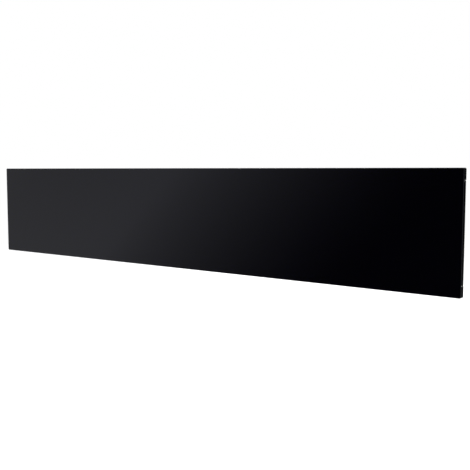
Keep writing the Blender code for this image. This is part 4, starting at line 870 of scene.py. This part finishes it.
def rivet_head(radius, height):
    profile = [(0, -0.3 * height), (radius, -0.3 * height), (radius, 0.15 * height)]
    profile += [(0.86 * radius, 0.6 * height), (0.6 * radius, 0.9 * height)]
    profile += [(0.42 * radius, height), (0.36 * radius, 0.7 * height)]
    profile += [(0.30 * radius, 0.62 * height), (0.28 * radius, 0.85 * height), (0, 0.9 * height)]
    return lathe(profile, 20)


SCREW = screw_head(0.0034, 0.0018)
SMALL_SCREW = screw_head(0.0019, 0.0010)
RIVET = rivet_head(0.0030, 0.0011)
print("screw:", len(SCREW[1]), "faces; rivet:", len(RIVET[1]), "faces")

# %% [markdown]
# ## Where the fixings go
#
# Positions come from the pieces that they hold. The fascias are screwed along their edges, the
# brackets are riveted to the wall lips, and the end panels' inner tabs are riveted through the back,
# the roof and the floor. Each screw gets its own turn, because nobody lines the crosses up.

# %% Set the fixings out
FASCIA_INSET = 0.006
FASCIA_END = 0.012
TOP_ROW_INSET = 0.0045
BRACKET_RIVET_STEPS = (0.0085, 0.0195)
BACK_RIVET_HEIGHTS = (0.032, 0.088, 0.144, 0.200, 0.256)
FLANGE_RIVET_DEPTHS = (0.022, 0.056, 0.088)

dice = random.Random(7)


def heads(head, places, direction):
    return joined([moved(head, standing(place, direction, dice.uniform(0, math.pi))) for place in places])


def fascia_screws():
    places = []
    for name in ("upper_fascia", "lower_fascia"):
        low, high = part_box(name)
        for share in (-1, -0.5, 0, 0.5, 1):
            x = share * (high.x - FASCIA_END)
            between = abs(share) < 1 and name == "upper_fascia"
            for z in (low.z + FASCIA_INSET, high.z - (TOP_ROW_INSET if between else FASCIA_INSET)):
                places.append((x, low.y, z))
    return add_piece("fascia_screws", heads(SCREW, places, (0, -1, 0)), "black_powder_coat")


def bracket_rivets():
    places = []
    for name in sorted(node for node in nodes if node.startswith("support_bracket")):
        low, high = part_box(name)
        side = 1 if low.x > 0 else -1
        for step in BRACKET_RIVET_STEPS:
            x = side * (min(abs(low.x), abs(high.x)) + step)
            places.append((x, -0.0030, high.z - 0.0055))
    return add_piece("bracket_rivets", heads(RIVET, places, (0, -1, 0)), "bright_zinc")


def box_rivets():
    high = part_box("firebox_shell")[1]
    back, x = high.y - 0.002, high.x - 0.006
    roof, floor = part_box("upper_fascia")[1].z + 0.003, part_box("lower_fascia")[0].z - 0.003
    shapes = []
    for side in (-1, 1):
        shapes.append(heads(RIVET, [(side * x, back, z) for z in BACK_RIVET_HEIGHTS], (0, 1, 0)))
        for level, up in ((roof, 1), (floor, -1)):
            places = [(side * x, y, level) for y in FLANGE_RIVET_DEPTHS]
            shapes.append(heads(RIVET, places, (0, 0, up)))
    return add_piece("box_rivets", joined(shapes), "bright_zinc")


def cover_screws():
    low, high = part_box("wiring_cover")
    middle, z = (low.x + high.x) / 2, (low.z + high.z) / 2
    places = [(middle + side * 0.050, high.y - 0.0002, z) for side in (-1, 1)]
    return add_piece("cover_screws", heads(screw_head(0.0031, 0.0006), places, (0, 1, 0)), "bright_zinc")


def pod_screws():
    low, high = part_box("control_pod")
    places = [(x, low.y, high.z - 0.0045) for x in (low.x + 0.005, high.x - 0.005)]
    return add_piece("pod_screws", heads(SMALL_SCREW, places, (0, -1, 0)), "bright_zinc")


for make in (fascia_screws, bracket_rivets, box_rivets, cover_screws, pod_screws):
    make()

# %% [markdown]
# ## The bed of glass chips
#
# Tempered glass breaks into chips about as wide as the sheet was thick. A chip here is the convex
# hull of a dozen random points. Sixteen such chips are made once, and then scattered over the shelf
# on a jittered grid in two layers, each copy with its own size and turn. The whole bed is one mesh
# of loose chips, and the finish gives each chip its own colour.

# %% Make and scatter the chips
CHIP_KINDS = 16
CHIP_PITCH = 0.0120
CHIP_SIZE = (0.0050, 0.0078)


def chip():
    work = bmesh.new()
    for _ in range(12):
        point = Vector([dice.gauss(0, 1) for _ in range(3)]).normalized() * dice.uniform(0.75, 1.0)
        work.verts.new((point.x, point.y * 0.9, point.z * 0.75))
    hull = bmesh.ops.convex_hull(work, input=work.verts)
    loose = [item for item in hull["geom_interior"] if isinstance(item, bmesh.types.BMVert)]
    bmesh.ops.delete(work, geom=loose, context="VERTS")
    work.verts.index_update()
    points = np.array([tuple(vertex.co) for vertex in work.verts])
    faces = [tuple(vertex.index for vertex in face.verts) for face in work.faces]
    work.free()
    return points, faces


def ember_chips():
    low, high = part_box("ember_bed")
    kinds = [chip() for _ in range(CHIP_KINDS)]
    margin = CHIP_SIZE[1]
    shapes = []
    for layer in (0, 1):
        rows = np.linspace(low.y + margin, high.y - margin, 4 - layer)
        for y in rows:
            x = low.x + margin + dice.uniform(0, CHIP_PITCH)
            while x < high.x - margin:
                size = dice.uniform(*CHIP_SIZE) * (1 - 0.12 * layer)
                level = low.z + 0.95 * size + layer * 0.0042
                place = Vector((x, y + dice.uniform(-0.0012, 0.0012), level))
                place.y = min(max(place.y, low.y + size), high.y - size)
                spin = Matrix([[dice.gauss(0, 1) for _ in range(3)] for _ in range(3)]).to_quaternion()
                shapes.append(moved(dice.choice(kinds), Matrix.LocRotScale(place, spin, (size,) * 3)))
                x += CHIP_PITCH * dice.uniform(0.85, 1.15)
    print("chips:", len(shapes))
    return add_piece("ember_chips", joined(shapes), "crystal", smooth=12, stands_for=["ember_bed"])


ember_chips()

# %% [markdown]
# ## The driftwood
#
# Each log is a bent, tapering tube of many rings. Its surface is pushed in and out by a few waves
# that run along it with a slow twist, which reads as weathered grain, and by two or three knots.
# Both ends are broken, so their points are pulled to uneven lengths. At the end the log is fitted to
# the box of its CAD solid, so it lies in the same place.

# %% Grow the logs
LOG_RINGS = 150
LOG_SIDES = 44


def log_shape(seed, knots):
    own = random.Random(seed)
    phase = [own.uniform(0, 6.28) for _ in range(8)]
    points, faces = [], []
    for ring in range(LOG_RINGS + 1):
        share = ring / LOG_RINGS
        taper = 0.72 + 0.28 * math.sin(math.pi * (0.15 + 0.7 * share))
        sway = 0.25 * math.sin(3.1 * share + phase[0])
        lift = 0.20 * math.sin(4.3 * share + phase[1])
        for side in range(LOG_SIDES):
            angle = 2 * math.pi * side / LOG_SIDES
            twisted = angle + 1.3 * share
            grain = 0.050 * math.sin(5 * twisted + phase[2] + 3 * math.sin(5 * share + phase[3]))
            grain += 0.034 * math.sin(9 * twisted + phase[4] + 2 * math.sin(11 * share))
            grain += 0.022 * math.sin(17 * twisted + phase[5] + 5 * math.sin(7 * share))
            grain += 0.012 * math.sin(29 * twisted + 60 * share + phase[6])
            lump = 0.0
            for place, facing, height in knots:
                away = ((share - place) / 0.022) ** 2 + ((math.cos(angle - facing) - 1) / 0.16) ** 2
                lump += height * (math.exp(-away) - 0.75 * math.exp(-5 * away))
            split = 0.0
            if min(share, 1 - share) < 0.02:
                split = 0.012 * math.sin(7 * angle + phase[7]) + 0.008 * math.sin(13 * angle)
            radius = taper * (1 + grain + lump) * (1 - 0.10 * (min(share, 1 - share) < 0.004))
            x = share - 0.5 + split * (1 if share > 0.5 else -1)
            y = sway + radius * math.cos(angle)
            points.append((x, y, lift + 0.92 * radius * math.sin(angle)))
    for ring in range(LOG_RINGS):
        for side in range(LOG_SIDES):
            after = (side + 1) % LOG_SIDES
            start, following = ring * LOG_SIDES, (ring + 1) * LOG_SIDES
            faces.append((start + side, start + after, following + after, following + side))
    for ring, inward in ((0, 0.010), (LOG_RINGS, -0.010)):
        rim = [ring * LOG_SIDES + side for side in range(LOG_SIDES)]
        middle = np.mean([points[index] for index in rim], axis=0)
        points.append((middle[0] + inward, middle[1], middle[2]))
        faces += [(rim[side], rim[(side + 1) % LOG_SIDES], len(points) - 1) for side in range(LOG_SIDES)]
    return np.array(points, float), faces


def fitted(shape, node):
    """The shape stretched to fill the box of a CAD node."""
    points, faces = shape
    low, high = (np.array(corner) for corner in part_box(node))
    near, far = points.min(0), points.max(0)
    return low + (points - near) / (far - near) * (high - low), faces


LOG_KNOTS = {
    "driftwood_left": ((0.22, 1.1, 0.26), (0.58, 2.6, 0.20), (0.81, 0.4, 0.22)),
    "driftwood_right": ((0.15, 2.2, 0.22), (0.47, 0.9, 0.28), (0.74, 2.0, 0.18)),
}
for seed, (node, knots) in enumerate(LOG_KNOTS.items()):
    name = node.replace("driftwood", "driftwood_log")
    add_piece(name, fitted(log_shape(seed + 3, knots), node), "driftwood", smooth=60, stands_for=[node])

# %% [markdown]
# ## The cable gland
#
# The supply comes in through a nylon gland: a locknut inside the panel, a threaded neck, a sealing
# washer and a hexagonal body outside it, and a ribbed dome nut that squeezes a rubber ring onto the
# cable. Every ring is turned round the gland's axis, and the bore stays open from end to end.

# %% Build the gland along its own axis
GLAND_LOW, GLAND_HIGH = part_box("cable_gland")
GLAND_RADIUS = (GLAND_HIGH.y - GLAND_LOW.y) / 2
GLAND_BORE = 0.0061
GLAND_THREAD = 0.0098
GLAND_PANEL = 0.0090


def ring(inner, outer, start, end, sides, chamfer=0.0006):
    """A ring about Z with its outer corners taken off."""
    profile = [(inner, start), (outer - chamfer, start), (outer, start + chamfer)]
    profile += [(outer, end - chamfer), (outer - chamfer, end), (inner, end)]
    return tube(profile, sides)


def ribbed(shape, count, depth, beyond):
    """Pulls the outer points in and out, so that ribs run along the axis."""
    points, faces = shape
    radius, angle = np.hypot(points[:, 0], points[:, 1]), np.arctan2(points[:, 1], points[:, 0])
    share = np.where(radius > beyond, 1 - depth * (np.sin(count * angle) > 0), 1.0)
    points[:, 0] *= share
    points[:, 1] *= share
    return points, faces


def threaded_neck(length):
    profile = [(GLAND_BORE + 0.0008, 0.0)]
    pitch = 0.0015
    for turn in range(int(length / pitch)):
        profile += [(GLAND_THREAD - 0.0007, turn * pitch), (GLAND_THREAD, (turn + 0.5) * pitch)]
    profile += [(GLAND_THREAD - 0.0007, length), (GLAND_BORE + 0.0008, length)]
    return tube(profile, 40)


def cable_gland():
    length = GLAND_HIGH.x - GLAND_LOW.x
    dome = [(0.0072, GLAND_PANEL + 0.0062), (0.0121, GLAND_PANEL + 0.0062)]
    dome += [(0.0124, GLAND_PANEL + 0.0075), (0.0124, length - 0.0052)]
    dome += [(0.0118, length - 0.0034), (0.0104, length - 0.0014)]
    dome += [(0.0088, length - 0.0003), (0.0078, length), (0.0072, length - 0.0004)]
    washer = (GLAND_PANEL + 0.0001, GLAND_PANEL + 0.0010)
    body = [
        ring(GLAND_THREAD - 0.0004, GLAND_RADIUS - 0.0002, 0.0020, 0.0072, 6),
        threaded_neck(GLAND_PANEL + 0.002),
        ring(0.0078, GLAND_RADIUS, GLAND_PANEL + 0.0009, GLAND_PANEL + 0.0062, 6, 0.0008),
        ribbed(tube(dome, 144), 18, 0.045, 0.0100),
    ]
    seals = [
        ring(GLAND_THREAD - 0.0006, GLAND_RADIUS - 0.0006, *washer, 48, 0.0002),
        ring(GLAND_BORE, 0.0076, GLAND_PANEL + 0.004, length - 0.0010, 48, 0.0004),
    ]
    middle = (GLAND_LOW + GLAND_HIGH) / 2
    aim = standing((GLAND_LOW.x, middle.y, middle.z), (1, 0, 0))
    shell = moved(joined(body), aim)
    add_piece("gland_body", shell, "black_plastic", smooth=30, stands_for=["cable_gland"])
    add_piece("gland_seals", moved(joined(seals), aim), "rubber")


cable_gland()

# %% [markdown]
# ## Lamps on the light strips
#
# Each lamp is a white ceramic frame with a shallow yellow dome of phosphor. Between the lamps sit
# their resistors: a black body with two tinned ends. They are set out along each board from its box.

# %% A finish for the lamps


def led_phosphor():
    glow = Finish("led_phosphor", Subsurface_Weight=0.2, Subsurface_Scale=0.001)
    cloud = glow.noise(1800, 2)
    glow.set("Base Color", glow.blend(cloud, (0.78, 0.56, 0.06), (0.90, 0.72, 0.16)))
    glow.set("Roughness", 0.28 + 0.2 * cloud)
    return glow


finishes["led_phosphor"] = led_phosphor().material
print("finishes:", len(finishes))

# %% Set out the lamps
LAMP_PITCH = 0.050
LAMP_FRAME = 0.0038
LAMP_DOME = (
    (0, -0.0002), (0.0013, -0.0002), (0.0013, 0),
    (0.0010, 0.00022), (0.0005, 0.00036), (0, 0.0004),
)
STRIPS = {"ember_light_strip": 1, "flame_light_strip": 1, "top_light_strip": -1}


def strip_parts(node, facing):
    low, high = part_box(node)
    y = (low.y + high.y) / 2
    board, face = (low.z + 0.0016, high.z) if facing > 0 else (high.z - 0.0016, low.z)
    count = int((high.x - low.x) / LAMP_PITCH)
    frames, domes, bodies, ends = [], [], [], []
    tall = abs(face - board) + 0.0001
    away = (0, 0, facing)
    lamp_frame, dome = block((LAMP_FRAME, LAMP_FRAME, tall), 0.0003), lathe(LAMP_DOME, 20)
    resistor, tinned_end = block((0.0016, 0.0012, 0.0005), 0.0001), block((0.0004, 0.00124, 0.00052))
    for index in range(count):
        x = (index - (count - 1) / 2) * LAMP_PITCH
        frames.append(moved(lamp_frame, standing((x, y, board + facing * tall / 2), away)))
        domes.append(moved(dome, standing((x, y, face + facing * 0.0001), away)))
        for step in (-0.4, 0.4):
            spot = Vector((x + step * LAMP_PITCH, y - 0.0018, board + facing * 0.00025))
            bodies.append(moved(resistor, standing(spot, away)))
            for end in (-0.00095, 0.00095):
                ends.append(moved(tinned_end, standing(spot + Vector((end, 0, 0)), away)))
    short = node.replace("_light_strip", "")
    add_piece(f"{short}_lamp_frames", joined(frames), "white_nylon")
    add_piece(f"{short}_lamp_domes", joined(domes), "led_phosphor")
    add_piece(f"{short}_resistors", joined(bodies), "black_plastic")
    add_piece(f"{short}_resistor_ends", joined(ends), "bright_zinc")


for node, facing in STRIPS.items():
    strip_parts(node, facing)

# %% [markdown]
# ## Signs on the keys
#
# The keys face down, so a hand finds them by feel and a glance from below reads their signs: a
# flame, three waves of warmth and a clock. They are plain signs of the trade, printed in white, so
# each is a very thin solid drawn from its outline.

# %% Draw the signs
INK = 0.00002


def printed(outline, level):
    """A thin solid on an outline of (x, y) points, standing INK proud of the key."""
    return prism(outline, ((1, level - INK), (1, level + 10 * INK)))


def band(path, width):
    """The outline of a line of that width along (x, y) points."""
    sides = ([], [])
    for index, (x, y) in enumerate(path):
        before, after = path[max(index - 1, 0)], path[min(index + 1, len(path) - 1)]
        away = Vector((before[1] - after[1], after[0] - before[0])).normalized() * width / 2
        sides[0].append((x + away.x, y + away.y))
        sides[1].append((x - away.x, y - away.y))
    return sides[0] + sides[1][::-1]


def circle(radius, start=0, end=360, steps=24):
    angles = [math.radians(start + (end - start) * step / steps) for step in range(steps + 1)]
    return [(radius * math.cos(angle), radius * math.sin(angle)) for angle in angles]


def flame_sign():
    outline = []
    for angle in np.linspace(0, 2 * math.pi, 28)[:-1]:
        fullness = (0.0011 - 0.00045 * math.cos(angle)) * (1 if angle > math.pi else 0.9)
        outline.append((math.sin(angle) * fullness, -0.0015 * math.cos(angle)))
    return [outline]


def heat_sign():
    waves = []
    for place in (-0.0011, 0, 0.0011):
        path = []
        for share in np.linspace(0, 1, 14):
            path.append((place + 0.00028 * math.sin(2.2 * math.pi * share), -0.0013 + 0.0026 * share))
        waves.append(band(path, 0.00028))
    return waves


def timer_sign():
    return [band(circle(0.0013, -80, 260), 0.00026), band([(0, 0.0009), (0, 0), (0.0006, 0)], 0.00024)]


SIGNS = {"flame_button": flame_sign, "heat_button": heat_sign, "timer_button": timer_sign}
for node, sign in SIGNS.items():
    low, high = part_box(node)
    middle = (low + high) / 2
    shapes = [printed([(middle.x + x, middle.y - y) for x, y in outline], low.z) for outline in sign()]
    add_piece(node.replace("button", "sign"), joined(shapes), "white_nylon", body=node)

# %% [markdown]
# ## Terminals, motor and receiver
#
# Three clamp screws stand in the terminal block, four screws hold the control board, and two hold
# the spindle motor to its bracket. They use the same heads as the rest. The remote control's receiver
# looks out through a hole in the upper fascia, behind a small dark lens that only infra-red passes.

# %% The last screws, and the lens


def terminal_screws():
    low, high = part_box("terminal_block")
    x, y = (low.x + high.x) / 2, (low.y + high.y) / 2
    places = [(x + step * 0.012, y, high.z - 0.0002) for step in (-1, 0, 1)]
    return add_piece("terminal_screws", heads(SMALL_SCREW, places, (0, 0, 1)), "bright_zinc")


def board_screws():
    low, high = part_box("control_board")
    corners = [(x, y) for x in (low.x + 0.005, high.x - 0.005) for y in (low.y + 0.005, high.y - 0.005)]
    places = [(*corner, low.z + 0.0018) for corner in corners]
    return add_piece("board_screws", heads(SMALL_SCREW, places, (0, 0, 1)), "bright_zinc")


def motor_screws():
    low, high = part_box("spindle_motor_bracket")
    motor_low, motor_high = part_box("spindle_motor")
    y, z = (low.y + high.y) / 2, (motor_low.z + motor_high.z) / 2
    places = [(low.x, y + side * 0.0105, z) for side in (-1, 1)]
    return add_piece("motor_screws", heads(SMALL_SCREW, places, (-1, 0, 0)), "bright_zinc")


def receiver_lens():
    low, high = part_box("ir_receiver")
    place = ((low.x + high.x) / 2, low.y + 0.0008, (low.z + high.z) / 2)
    profile = [(0, 0)]
    for angle in np.linspace(0, 1.45, 8):
        profile.append((0.0039 * math.cos(angle), 0.0004 + 0.0011 * math.sin(angle)))
    lens = lathe(profile + [(0, 0.0015)], 32)
    return add_piece("receiver_lens", moved(lens, standing(place, (0, -1, 0))), "smoked_glass")


for make in (terminal_screws, board_screws, motor_screws, receiver_lens):
    make()
print("pieces added:", len(made_pieces))
